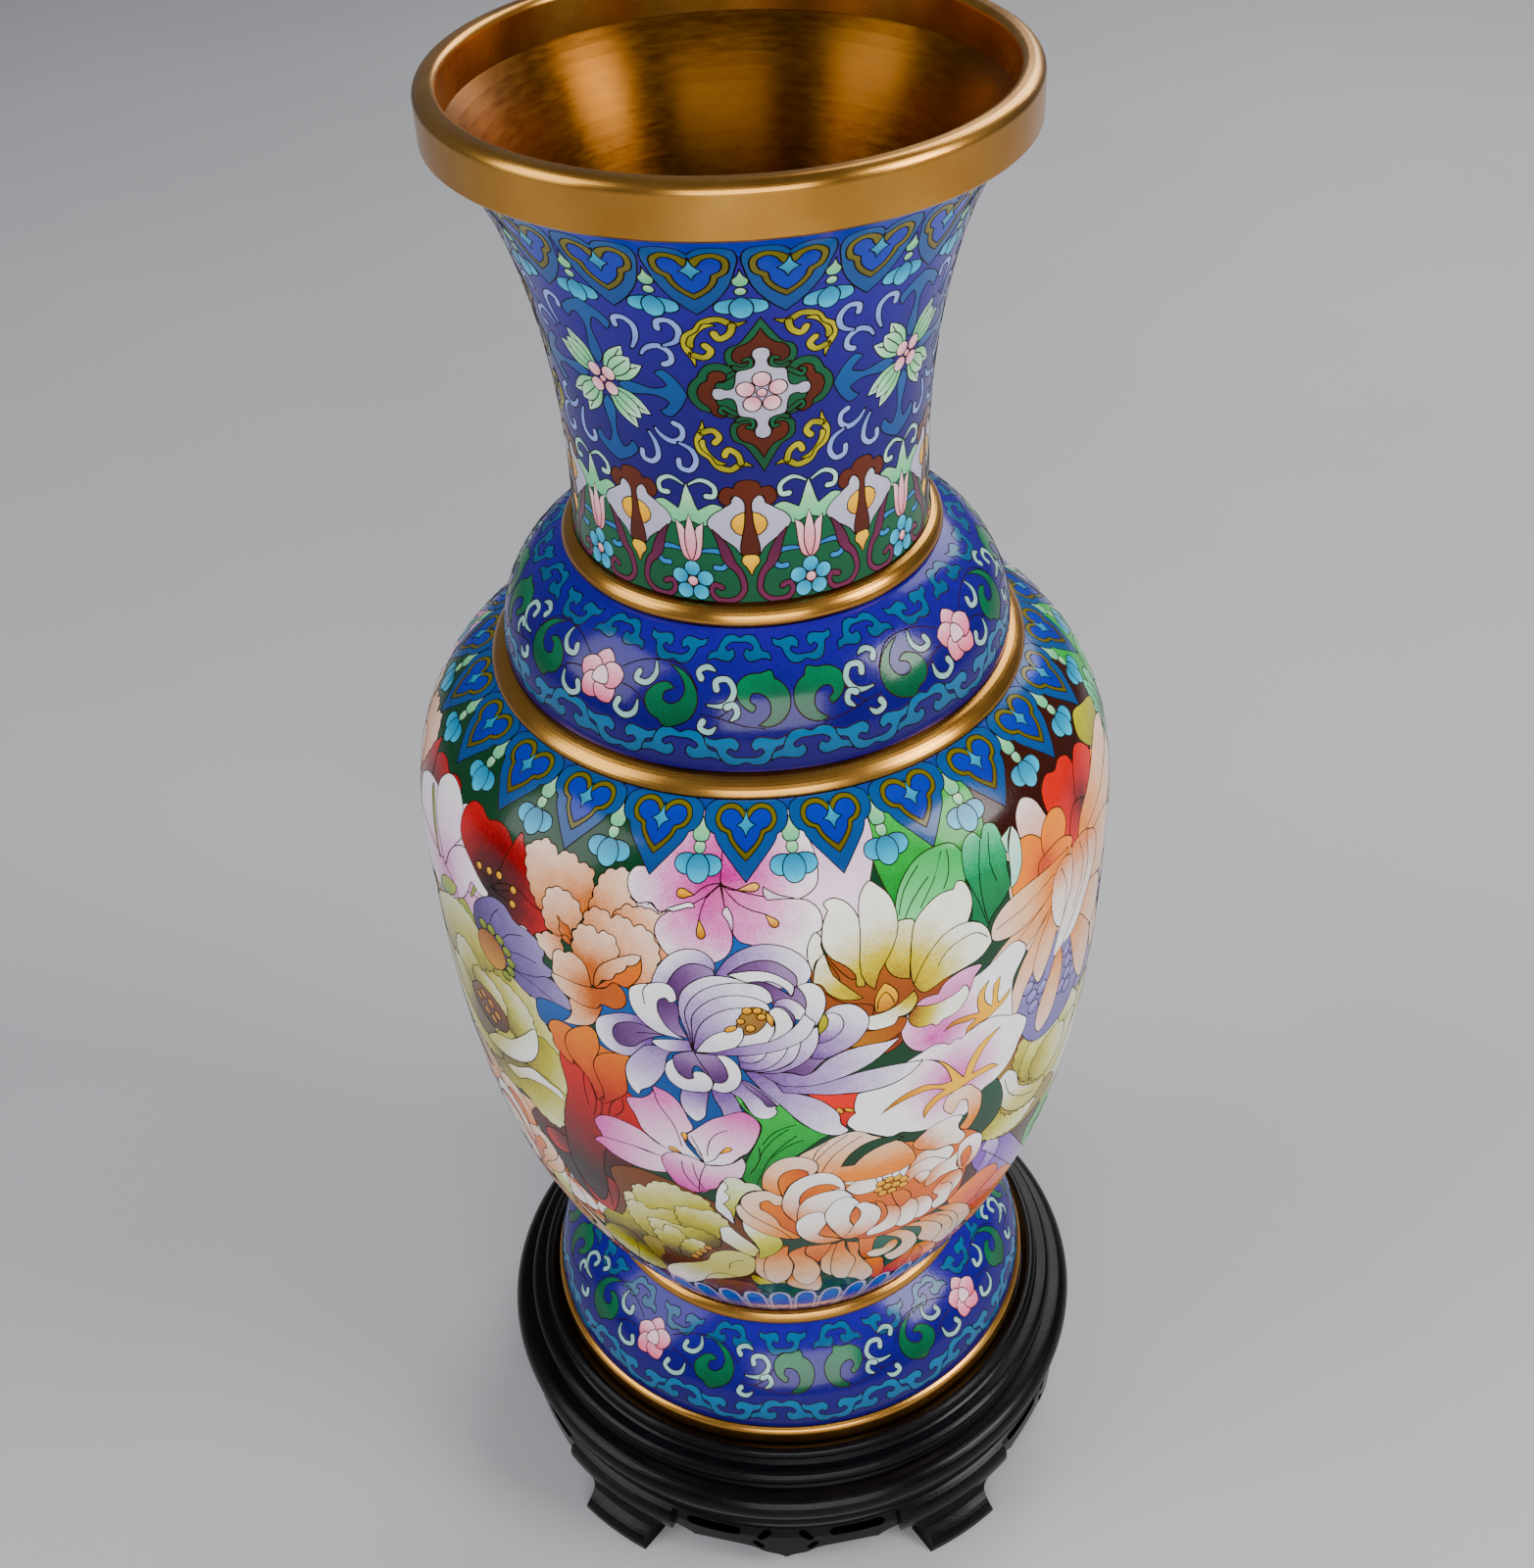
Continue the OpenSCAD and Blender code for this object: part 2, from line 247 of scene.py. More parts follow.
class Pen:
    """Draws on a band at a place, a size and a turn of its own."""

    def __init__(self, band, group="ground"):
        self.band = band
        self.group = group
        self.frame = np.eye(3)

    def at(self, x=0, y=0, size=1, turn=0, flip=False, group=None):
        """A pen moved, sized, turned in degrees or mirrored from this one."""
        pen = Pen(self.band, group or self.group)
        c, s = math.cos(math.radians(turn)) * size, math.sin(math.radians(turn)) * size
        f = -1 if flip else 1
        pen.frame = self.frame @ np.array([[c * f, -s, x], [s * f, c, y], [0, 0, 1]])
        return pen

    def map(self, points):
        """Points as they lie on the band."""
        points = np.asarray(points, float)
        return points @ self.frame[:2, :2].T + self.frame[:2, 2]

    def add(self, outlines, inks, run=None):
        """A cell of enamel. Its inks run from the first point of run to the second."""
        outlines = [self.map(o) for o in outlines]
        if run is None:
            every = np.concatenate(outlines)
            run = [(every.min(0) + every.max(0)) / 2 * [1, 0] + [0, every[:, 1].min()],
                   (every.min(0) + every.max(0)) / 2 * [1, 0] + [0, every[:, 1].max()]]
        else:
            run = self.map(run)
        self.band.cells.append(Cell(outlines, inks, np.array(run), self.group))

    def fill(self, points, inks, run=None):
        """A cell inside a smooth outline."""
        self.add([smooth(points)], inks, run)

    def half(self, points, inks, run=None):
        """A cell from the left half of its outline."""
        self.add([smooth(mirrored(points))], inks, run)

    def line(self, points, widths, inks, run=None):
        """A long cell along a line, with its widths spread evenly from end to end."""
        self.add([stroke(points, widths)], inks, run or [points[0][:2], points[-1][:2]])

    def disc(self, x, y, rx, inks, ry=None, turn=0, run=None):
        """A round or oval cell."""
        self.add([oval(x, y, rx, ry, turn)], inks, run)

    def vein(self, points):
        """A single wire across the cells drawn so far."""
        self.band.veins.append((self.map(smooth(points, closed=False, fine=0.3)), len(self.band.cells)))


def both(pen):
    """A pen and its mirror image."""
    return [pen, pen.at(flip=True)]


class Plan:
    """Points and edges that the flat drawing is cut along."""

    def __init__(self):
        self.points = []
        self.edges = []
        self.vein_of = {}

    def add(self, outline, closed, vein=None):
        """Adds a line. A vein's edges keep the number of cells that were drawn before it."""
        first = len(self.points)
        self.points.extend(map(tuple, outline))
        count = len(outline)
        for k in range(count if closed else count - 1):
            if vein is not None:
                self.vein_of[len(self.edges)] = vein
            self.edges.append((first + k, first + (k + 1) % count))

    def add_grid(self, band, low, high):
        """Adds the band's edge, and loose points inside it that keep the triangles even."""
        half = band.around / 2
        across = int(round(band.around / band.grid))
        xs = np.linspace(-half, half, across + 1)
        up = int(round((high - low) / band.grid))
        ys = np.linspace(low, high, up + 1)
        rim = [(x, low) for x in xs] + [(half, y) for y in ys[1:]]
        rim += [(x, high) for x in xs[::-1][1:]] + [(-half, y) for y in ys[::-1][1:-1]]
        self.add(rim, True)
        for k, y in enumerate(ys[1:-1]):
            shift = (k % 2) * 0.5 - 0.25
            self.points.extend((x + shift * band.grid, y) for x in xs[1:-1])

    def add_drawing(self, band):
        """Adds every outline and vein of the band."""
        for cell in band.cells:
            for outline in cell.outlines:
                for copy in band.copies(outline):
                    self.add(copy, True)
        for line, order in band.veins:
            for copy in band.copies(line):
                self.add(copy, False, order)


def flat_mesh(band):
    """Cuts the drawing into triangles. Gives points, triangles, each one's cell, and wire edges."""
    low = WIRE_W / 2
    high = band.top - WIRE_W / 2
    merge, least_area = 0.004, 1e-7
    plan = Plan()
    plan.add_grid(band, low, high)
    plan.add_drawing(band)
    got = delaunay_2d_cdt([Vector(v) for v in plan.points], plan.edges, [], 0, merge, True)
    points = np.array([v[:] for v in got[0]])
    tris = np.array([f for f in got[2] if len(f) == 3])
    middle = points[tris].mean(1)
    a, b, c = (points[tris[:, k]] for k in range(3))
    area = (b[:, 0] - a[:, 0]) * (c[:, 1] - a[:, 1]) - (c[:, 0] - a[:, 0]) * (b[:, 1] - a[:, 1])
    keep = (abs(middle[:, 0]) < band.around / 2) & (middle[:, 1] > low) & (middle[:, 1] < high)
    keep &= abs(area) > least_area
    order = np.argsort(middle[keep, 0])
    tris, middle = tris[keep][order], middle[keep][order]
    owner = cell_owners(band, middle)
    return points, tris, owner, wire_edges(got, points, tris, owner, plan.vein_of)


def cell_owners(band, middle):
    """The last cell drawn over each point, or -1 on the bare ground. The points are sorted by x."""
    owner = np.full(len(middle), -1)
    for index, cell in enumerate(band.cells):
        for outline in cell.outlines:
            for copy in band.copies(outline):
                lowest, highest = copy.min(0), copy.max(0)
                first, last = np.searchsorted(middle[:, 0], [lowest[0], highest[0]])
                level = middle[first:last, 1]
                near = first + np.nonzero((level > lowest[1]) & (level < highest[1]))[0]
                if len(near):
                    owner[near[inside(middle[near], copy)]] = index
    return owner


def wire_edges(got, points, tris, owner, vein_of):
    """Edges that carry a wire: those between two cells, and the veins that nothing later covers."""
    pairs = np.sort(np.concatenate([tris[:, [0, 1]], tris[:, [1, 2]], tris[:, [2, 0]]]), 1)
    who = np.tile(owner, 3)
    key = pairs[:, 0].astype(np.int64) * len(points) + pairs[:, 1]
    order = np.argsort(key, kind="stable")
    key, who, pairs = key[order], who[order], pairs[order]
    same = np.nonzero(key[1:] == key[:-1])[0]
    differ = same[who[same] != who[same + 1]]
    wires = {tuple(pairs[k]) for k in differ}
    top = {}
    for k in same:
        top[tuple(pairs[k])] = max(who[k], who[k + 1])
    for edge, origins in zip(got[1], got[4]):
        pair = tuple(sorted(edge))
        if pair in top:
            for o in origins:
                if o in vein_of and top[pair] < vein_of[o]:
                    wires.add(pair)
    return sorted(wires)


def new_object(name, verts, faces, material):
    """A smooth-shaded mesh object of one material."""
    mesh = bpy.data.meshes.new(name)
    mesh.from_pydata([tuple(v) for v in verts], [], [tuple(int(k) for k in f) for f in faces])
    mesh.polygons.foreach_set("use_smooth", [True] * len(mesh.polygons))
    mesh.materials.append(material)
    piece = bpy.data.objects.new(name, mesh)
    bpy.context.collection.objects.link(piece)
    return piece


def blend_at(band, where, run):
    """How far each corner is along its inks: on a line, out from a centre, or up the band."""
    if run is None:
        return where[:, :, 1] / band.top
    turns = np.round((run[:, 0].mean() - where[:, :, 0].mean(1)) / band.around)
    where[:, :, 0] += turns[:, None] * band.around
    way = run[1] - run[0]
    if len(run) == 3:
        return np.hypot(*(where - run[0]).transpose(2, 0, 1)) / np.hypot(*way)
    return ((where - run[0]) @ way) / (way @ way + 1e-9)


def keep_inks(mesh, inks, blend):
    """Keeps three inks on each face, and on each corner how far it is along them."""
    for k in range(3):
        layer = mesh.attributes.new("ink_%d" % k, "FLOAT_COLOR", "FACE")
        layer.data.foreach_set("color", inks[k].ravel())
    layer = mesh.attributes.new("blend", "FLOAT", "CORNER")
    layer.data.foreach_set("value", np.clip(blend, 0, 1).ravel())


def enamel_pieces(band, points, tris, owner, material):
    """One piece of enamel for each motif group, with the inks of its cells kept on its faces."""
    place, normal = band.wrap(points, 0)
    bare = Cell([], band.base, None, "ground")
    groups = np.array([band.cells[k].group if k >= 0 else bare.group for k in owner])
    names = groups.astype(object)
    sectors = 8
    sector = np.floor((points[tris].mean(1)[:, 0] / band.around + 0.5) * sectors).astype(int)
    ground = groups == bare.group
    names[ground] = ["ground_%d" % (k + 1) for k in sector[ground]]
    pieces = []
    for name in sorted(set(names)):
        mine = np.nonzero(names == name)[0]
        used, local = np.unique(tris[mine], return_inverse=True)
        local = local.reshape(-1, 3)
        piece = new_object("%s_%s" % (band.name, name), place[used], local, material)
        piece.data.normals_split_custom_set_from_vertices([tuple(v) for v in normal[used]])
        inks = np.ones((3, len(mine), 4))
        blend = np.zeros((len(mine), 3))
        flat = points[tris[mine]]
        for index in np.unique(owner[mine]):
            rows = owner[mine] == index
            cell = band.cells[index] if index >= 0 else bare
            for k in range(3):
                inks[k, rows, :3] = cell.inks[k]
            blend[rows] = blend_at(band, flat[rows], cell.run)
        keep_inks(piece.data, inks, blend)
        pieces.append(piece)
    return pieces


class WireNet:
    """Edges that carry a wire, the direction across each one, and the edges that meet at a point."""

    def __init__(self, band, points, edges, sectors):
        edges = np.array(edges)
        run = points[edges[:, 1]] - points[edges[:, 0]]
        long = np.hypot(*run.T)
        keep = long > SMALL
        run = run[keep] / long[keep][:, None]
        self.points = points
        self.edges = edges[keep]
        self.side = np.stack([-run[:, 1], run[:, 0]], 1)
        start = points[self.edges[:, 0], 0]
        self.sector = np.floor((start / band.around + 0.5) * sectors).astype(int) % sectors
        self.meets = {}
        for k, (a, b) in enumerate(self.edges):
            self.meets.setdefault(a, []).append(k)
            self.meets.setdefault(b, []).append(k)

    def mitre(self, k, at):
        """Way across the bend where edge k meets just one other edge of its sector, or None."""
        others = [e for e in self.meets[at] if e != k]
        if len(others) != 1 or self.sector[others[0]] != self.sector[k]:
            return None
        mine, other = self.edges[k], self.edges[others[0]]
        head_on = mine[0] == other[0] or mine[1] == other[1]
        other_side = self.side[others[0]]
        mean = self.side[k] + (-other_side if head_on else other_side)
        return mean / max(mean @ mean / 2, 0.5)


class Strip:
    """The wires of one sector: roof-shaped sections across them, and the faces in between."""

    def __init__(self, width, proud, sunk):
        self.width = width
        self.levels = [-sunk, proud, -sunk]
        self.flat = []
        self.lift = []
        self.faces = []
        self.shared = {}

    def section(self, place, way):
        """Adds a section, and gives the numbers of its three points."""
        first = len(self.flat)
        self.flat.extend([place + way * self.width / 2, place, place - way * self.width / 2])
        self.lift.extend(self.levels)
        return first, first + 1, first + 2

    def end_of(self, net, k, at):
        """Section at one end of edge k. Two edges that are mitred share theirs."""
        way = net.mitre(k, at)
        if way is None:
            return self.section(net.points[at], net.side[k])
        if at not in self.shared:
            self.shared[at] = (self.section(net.points[at], way), way)
        numbers, way = self.shared[at]
        return numbers[::-1] if way @ net.side[k] < 0 else numbers

    def add(self, net, k):
        """Adds the two roof faces of edge k."""
        left_a, top_a, right_a = self.end_of(net, k, net.edges[k][0])
        left_b, top_b, right_b = self.end_of(net, k, net.edges[k][1])
        self.faces += [(left_a, top_a, top_b, left_b), (top_a, right_a, right_b, top_b)]


def wire_pieces(band, points, edges, material, width=0.5, proud=0.08, sunk=0.06, sectors=6):
    """Roof-shaped metal wires along the edges, in one piece for each sector of the band."""
    net = WireNet(band, points, edges, sectors)
    pieces = []
    for number in range(sectors):
        strip = Strip(width, proud, sunk)
        for k in np.nonzero(net.sector == number)[0]:
            strip.add(net, k)
        if strip.faces:
            place = wrap_each(band, np.array(strip.flat), np.array(strip.lift))
            name = "%s_wire_%d" % (band.name, number + 1)
            pieces.append(new_object(name, place, strip.faces, material))
    return pieces


def wrap_each(band, flat, lift):
    """Points of the drawing on the wall, each raised by millimetres of its own."""
    on, normal = band.wrap(flat, 0)
    return on + normal * lift[:, None] * MM


# ---------------------------------------------------------------- materials

class Nodes:
    """Short hand for building a material's nodes."""

    def __init__(self, name):
        self.material = bpy.data.materials.new(name)
        self.material.use_nodes = True
        self.tree = self.material.node_tree
        self.shader = self.tree.nodes["Principled BSDF"]

    def add(self, kind, inputs=None, **settings):
        """A node whose inputs are values or other nodes' outputs."""
        node = self.tree.nodes.new("ShaderNode" + kind)
        for key, value in settings.items():
            setattr(node, key, value)
        for key, value in (inputs or {}).items():
            if isinstance(value, bpy.types.NodeSocket):
                self.tree.links.new(value, node.inputs[key])
            else:
                node.inputs[key].default_value = value
        return node

    def maths(self, operation, *values):
        node = self.add("Math", dict(enumerate(values)), operation=operation)
        return node.outputs[0]

    def mix(self, share, a, b):
        node = self.add("Mix", {0: share, 6: a, 7: b}, data_type="RGBA")
        return node.outputs[2]

    def noise(self, scale, detail=2.0, rough=0.5, where=None):
        where = where or self.add("TexCoord").outputs["Object"]
        return self.add("TexNoise", {"Vector": where, "Scale": scale, "Detail": detail, "Roughness": rough})

    def spread(self, value, low, high, a, b):
        """A value from low to high stretched to run from a to b."""
        node = self.add("MapRange", {0: value, 1: low, 2: high, 3: a, 4: b})
        return node.outputs[0]

    def bump(self, height, distance, strength=1.0):
        node = self.add("Bump", {"Height": height, "Distance": distance, "Strength": strength})
        self.tree.links.new(node.outputs[0], self.shader.inputs["Normal"])

    def join(self, value, socket):
        self.tree.links.new(value, self.shader.inputs[socket])

    def level(self, socket, value):
        """One value for the whole surface."""
        self.shader.inputs[socket].default_value = value

    def brushed_round(self, share):
        """Bare metal whose highlights are drawn out by brushing round the vertical axis."""
        self.level("Metallic", 1)
        self.level("Anisotropic", share)
        self.level("Anisotropic Rotation", 0.25)
        self.join(self.add("Tangent", direction_type="RADIAL", axis="Z").outputs[0], "Tangent")


def enamel_material():
    """Fired enamel: two inks blended grain by grain, tiny pits, and a polished glassy top."""
    n = Nodes("enamel")
    inks = [n.add("Attribute", attribute_name="ink_%d" % k).outputs["Color"] for k in range(3)]
    blend = n.add("Attribute", attribute_name="blend").outputs["Fac"]
    grain = n.noise(2600, 1.0).outputs["Fac"]
    cloud = n.noise(260, 3.0).outputs["Fac"]
    shifted = n.maths("ADD", blend, n.maths("MULTIPLY", n.maths("SUBTRACT", grain, 0.5), 0.5))
    shifted = n.maths("ADD", shifted, n.maths("MULTIPLY", n.maths("SUBTRACT", cloud, 0.5), 0.22))
    low = n.spread(shifted, 0.02, 0.5, 0, 1)
    high = n.spread(shifted, 0.5, 0.98, 0, 1)
    colour = n.mix(high, n.mix(low, inks[0], inks[1]), inks[2])
    deep = n.add("Gamma", {"Color": colour, "Gamma": 1.2}).outputs[0]
    tone = n.add("HueSaturation",
                 {"Value": n.spread(cloud, 0.3, 0.7, 0.97, 1.05), "Saturation": 1.15, "Color": deep})
    n.join(tone.outputs[0], "Base Color")
    n.join(n.spread(grain, 0.3, 0.8, 0.12, 0.24), "Roughness")
    pits = n.maths("ADD", n.noise(900, 3.0).outputs["Fac"],
                   n.maths("MULTIPLY", n.noise(110, 2.0).outputs["Fac"], 1.5))
    n.bump(pits, 0.00004, 0.4)
    n.level("IOR", 1.33)
    n.level("Coat Weight", 0.12)
    n.level("Coat IOR", 1.35)
    n.level("Coat Roughness", 0.04)
    return n.material


def gilt_material(name, deep, bright, rough):
    """Gilt brass, worn and a little cloudy."""
    n = Nodes(name)
    cloud = n.noise(60, 4.0, 0.5).outputs["Fac"]
    fine = n.noise(1500, 2.0).outputs["Fac"]
    tint = n.mix(n.spread(cloud, 0.3, 0.7, 0, 1), (*ink(deep), 1), (*ink(bright), 1))
    n.join(tint, "Base Color")
    n.join(n.spread(n.maths("ADD", cloud, n.maths("MULTIPLY", fine, 0.1)), 0.4, 0.7, rough,
                    rough + 0.05), "Roughness")
    n.brushed_round(0.5)
    return n.material


def brushed_material():
    """Bare metal inside the vase, brushed round and round, with darker stains; its brown is the metal's
    own, darkened further as painted shade.
    """
    n = Nodes("inside_metal")
    where = n.add("TexCoord").outputs["Object"]
    apart = n.add("SeparateXYZ", {0: where})
    radius = n.maths("SQRT",
                     n.maths("ADD", n.maths("MULTIPLY", apart.outputs[0], apart.outputs[0]),
                             n.maths("MULTIPLY", apart.outputs[1], apart.outputs[1])))
    angle = n.maths("ARCTAN2", apart.outputs[1], apart.outputs[0])
    around = n.add("CombineXYZ",
                   {0: n.maths("MULTIPLY", angle, 0.012), 1: n.maths("MULTIPLY", radius, 0.8),
                    2: apart.outputs[2]})
    lines = n.noise(900, 3.0, 0.6, around.outputs[0]).outputs["Fac"]
    stain = n.noise(45, 4.0).outputs["Fac"]
    # Dark brown inks: the bare metal's brown, darkened further as painted shade inside the vase.
    tint = n.mix(n.spread(stain, 0.3, 0.7, 0, 1), (*ink("603608"), 1), (*ink("704410"), 1))
    tint = n.mix(n.spread(lines, 0.3, 0.7, 0, 0.3), tint, (*ink("a06c2c"), 1))
    n.join(tint, "Base Color")
    n.join(n.spread(lines, 0.3, 0.7, 0.3, 0.42), "Roughness")
    n.brushed_round(0.75)
    n.bump(lines, 0.00005, 0.3)
    return n.material


def wood_material():
    """Nearly black lacquered hardwood: faint grain, brown where it is worn, dust in its pores."""
    n = Nodes("dark_wood")
    where = n.add("TexCoord").outputs["Object"]
    stretched = n.add("Mapping", {"Vector": where, "Scale": (1, 6, 6)})
    grain = n.noise(90, 5.0, 0.65, stretched.outputs[0]).outputs["Fac"]
    wear = n.noise(38, 4.0).outputs["Fac"]
    pores = n.noise(1400, 2.0).outputs["Fac"]
    tint = n.mix(n.spread(grain, 0.35, 0.7, 0, 1), (*ink("020102"), 1), (*ink("080506"), 1))
    tint = n.mix(n.spread(wear, 0.6, 0.85, 0, 0.5), tint, (*ink("180c08"), 1))
    n.join(tint, "Base Color")
    n.join(n.spread(n.maths("ADD", wear, n.maths("MULTIPLY", pores, 0.3)), 0.4, 0.9, 0.24, 0.38),
           "Roughness")
    n.bump(n.maths("ADD", grain, n.maths("MULTIPLY", pores, 0.4)), 0.00012, 0.6)
    n.level("IOR", 1.35)
    n.level("Specular IOR Level", 0.25)
    n.level("Coat Weight", 0.07)
    n.level("Coat Roughness", 0.12)
    return n.material


def floor_material():
    """Pale grey studio floor."""
    n = Nodes("floor")
    soft = n.noise(3, 3.0).outputs["Fac"]
    n.join(n.mix(n.spread(soft, 0.3, 0.7, 0, 1), (*ink("b3b2b5"), 1), (*ink("b9b8bb"), 1)), "Base Color")
    n.level("Roughness", 0.7)
    return n.material


# ---------------------------------------------------------------- inks

ULTRAMARINE = shades("20006a", "26007c", "3002a0")
PERIWINKLE = shades("2640b0")
TEAL_BLUE = shades("04508e", "065e9c")
TURQUOISE = shades("0a86ac", "28a2c6", "70cae4")
MUSTARD = shades("6a6210", "7e761c")
MINT = shades("7fc8a0", "9fd8a8", "cfead8")
PALE_MINT = shades("a8d8c8", "b8e2d2")
LAVENDER = shades("8fa4e0", "a4b6ea")
PINK = shades("e69aa8", "f2bcc4", "f7d6da")
GREY_LILAC = shades("b6b4c6", "c6c3d2")
BROWN = shades("5a2a1a", "6b3420")
GREEN = shades("085838", "0c6a46")
GOLD_YELLOW = shades("e29a10", "f2b820", "f8cc40")
CLOUD_YELLOW = shades("9a9418", "b4aa24", "c2b62c")


# ---------------------------------------------------------------- neck

def lappet(pen):
    """Hanging heart with a mustard trefoil and a small blossom in it."""
    pen.half([(0, 74, 1), (-3.5, 77.5), (-5.8, 81.5), (-6.9, 86), (-7.4, 90), (-6.6, 92.5), (-4, 93.3),
              (-1.2, 92.6), (0, 91, 1)], TEAL_BLUE)
    pen.half([(0, 78, 1), (-2.5, 80.2), (-3.9, 82.6), (-4.3, 84), (-5.5, 85), (-6.2, 87.3),
              (-5.8, 89.9), (-3.8, 91.5), (-1.6, 90.8), (0, 89.2, 1)], MUSTARD)
    pen.half([(0, 79.6, 1), (-1.8, 81.2), (-2.9, 83.2), (-3.3, 85), (-4.4, 85.8), (-5, 87.4),
              (-4.8, 89), (-3.5, 90), (-2.1, 89.2), (-1.4, 87.8), (0, 86.6)], PERIWINKLE)
    pen.half([(0, 83.2, 1), (-.8, 85), (-1.9, 86, 1), (-.9, 87), (0, 90.4, 1)], TURQUOISE)


def pendant(pen):
    """Bell flower that hangs on a bead between two lappets."""
    for side in both(pen):
        side.fill([(.8, 78.2), (2.4, 78), (4.4, 77), (4.7, 75.2), (3.2, 74.2), (1.2, 74.6)], TURQUOISE,
                  [(0, 78.5), (3, 73.5)])
    pen.half([(0, 78.6), (-1.4, 77.6), (-2.1, 75.4), (-1.4, 73.4), (0, 72.8)], TURQUOISE,
             [(0, 78.6), (0, 73)])
    pen.disc(0, 80.1, 1.1, MINT)
    pen.half([(0, 86.8, 1), (-.5, 84.6), (-1.4, 83.2), (-1, 81.8), (0, 81.4)], MINT)


def plum_blossom(pen, reach, petal, heart, inks, middle, count=5, start=90):
    """Small round-petalled flower."""
    for k in range(count):
        a = math.radians(start + 360 / count * k)
        pen.disc(reach * math.cos(a), reach * math.sin(a), petal, inks,
                 run=[(0, 0), (1.5 * reach * math.cos(a), 1.5 * reach * math.sin(a))])
    pen.disc(0, 0, heart, middle)


def medallion(pen):
    """Four-lobed green and brown medallion round a pink blossom, between four yellow clouds."""
    head = [(-4.6, 5.8), (-4.6, 6.4, 1), (-6.4, 7.4), (-6.9, 9.6), (-6.2, 11.6), (-4.7, 12.4, 1),
            (-4, 12.9), (-2.4, 15.2), (0, 19.4, 1)]
    side = [(12.6, -4.2, 1), (14.2, -2.4), (14.9, 0), (14.2, 2.4), (12.6, 4.2, 1), (12, 5.6),
            (10.4, 7.5), (8, 7.9), (5.9, 7), (4.6, 5.8)]
    pen.fill(whole_medallion(head, side), GREEN)
    for turn in (0, 180):
        part = pen.at(turn=turn)
        part.half([(0, 16.6, 1), (-2.6, 12.8), (-4.4, 12), (-5.4, 10.4), (-5.2, 8.4), (-3.8, 7.6),
                   (-2.2, 8.2), (-1.9, 9.8), (0, 10.6)], BROWN)
        part.fill([(6.8, 4.8), (8.4, 6), (10.2, 5.2), (10.8, 3.4), (12.2, 2.3), (13, 0, 1),
                   (12.2, -2.3), (10.8, -3.4), (10.2, -5.2), (8.4, -6), (6.8, -4.8), (7.2, -3.4),
                   (8.6, -3), (9.3, -1.6), (8.6, 0), (9.3, 1.6), (8.6, 3), (7.2, 3.4)], BROWN)
        for quarter in both(part):
            quarter.line([(-5.4, 6.9), (-3.4, 6.2), (-2, 7.3), (-2.3, 8.8), (-3.3, 8.5)],
                         [1.2, 1.1, .8], GREEN)
            quarter.line([(5.1, 5.4), (6.6, 4.4), (8.2, 3.4), (8.6, 4.6), (7.8, 5)], [1.2, 1.1, .8], GREEN)
    quarter = [(1.5, 10.9), (1.7, 9.4), (1.2, 8.2), (1.7, 6.6), (3, 6.1), (4.6, 5.7)]
    quarter += [(y * .87, x * .87) for x, y in quarter[-2::-1]]
    cross = [(0, 11.6)] + quarter + [(10, 0)] + flipped(quarter[::-1], y=-1)
    cross += [(0, -11.6)] + flipped(quarter, x=-1, y=-1) + [(-10, 0)] + flipped(quarter[::-1], x=-1)
    pen.fill(cross, GREY_LILAC)
    plum_blossom(pen, 3.4, 1.95, 1.15, PINK, PINK, start=90)
    for way in both(pen):
        yellow_cloud(way)
        yellow_cloud(way.at(turn=180, flip=True))


def flipped(points, x=1, y=1):
    """Points mirrored or stretched across the axes, with their corners kept."""
    return [(p[0] * x, p[1] * y) + tuple(p[2:]) for p in points]


def whole_medallion(head, side):
    """Outline of the medallion from its upper left head and its right side."""
    top = head[1:] + flipped(head[-2:0:-1], x=-1)
    return top + side[-2::-1] + flipped(top[::-1], y=-1.03) + flipped(side[:-1], x=-1)


def yellow_cloud(pen):
    """Scrolling cloud at one corner of a medallion."""
    pen.line([(2.4, 18.6), (4.6, 17.8), (7.5, 19.3), (10.4, 18.2), (11.6, 16.3), (13.6, 14.6),
              (14, 11.8), (12.9, 9.4), (12.6, 6.9)], [.2, 1.6, 1.5, 1.6, 1.4, 1.6, 1.6, 1.4, .2],
             CLOUD_YELLOW)
    pen.line([(5, 18), (5.8, 15.2), (7.6, 14.2), (8.4, 15.6)], [1.5, 1.5, 1.7], CLOUD_YELLOW)
    pen.line([(12.9, 10), (10.4, 9.4), (9.3, 11), (10.3, 12.4)], [1.5, 1.5, 1.7], CLOUD_YELLOW)
    pen.fill([(8, 17.8), (10, 16.8), (12.2, 13.6), (12.6, 11.6), (13.6, 12), (13.2, 14.4), (11.4, 16),
              (10.2, 18)], CLOUD_YELLOW)


def anchor(pen, reach):
    """Teal flower head on a stem that points away from the cross flower."""
    pen.half([(0, reach, 1), (-2.6, reach - 1.2), (-4.6, reach - 2.6), (-6, reach - 4.4),
              (-4.8, reach - 6.4), (-3.6, reach - 5), (-2.2, reach - 4.2), (-1.2, reach - 5.8), (-1, 5),
              (0, 4)], TEAL_BLUE)


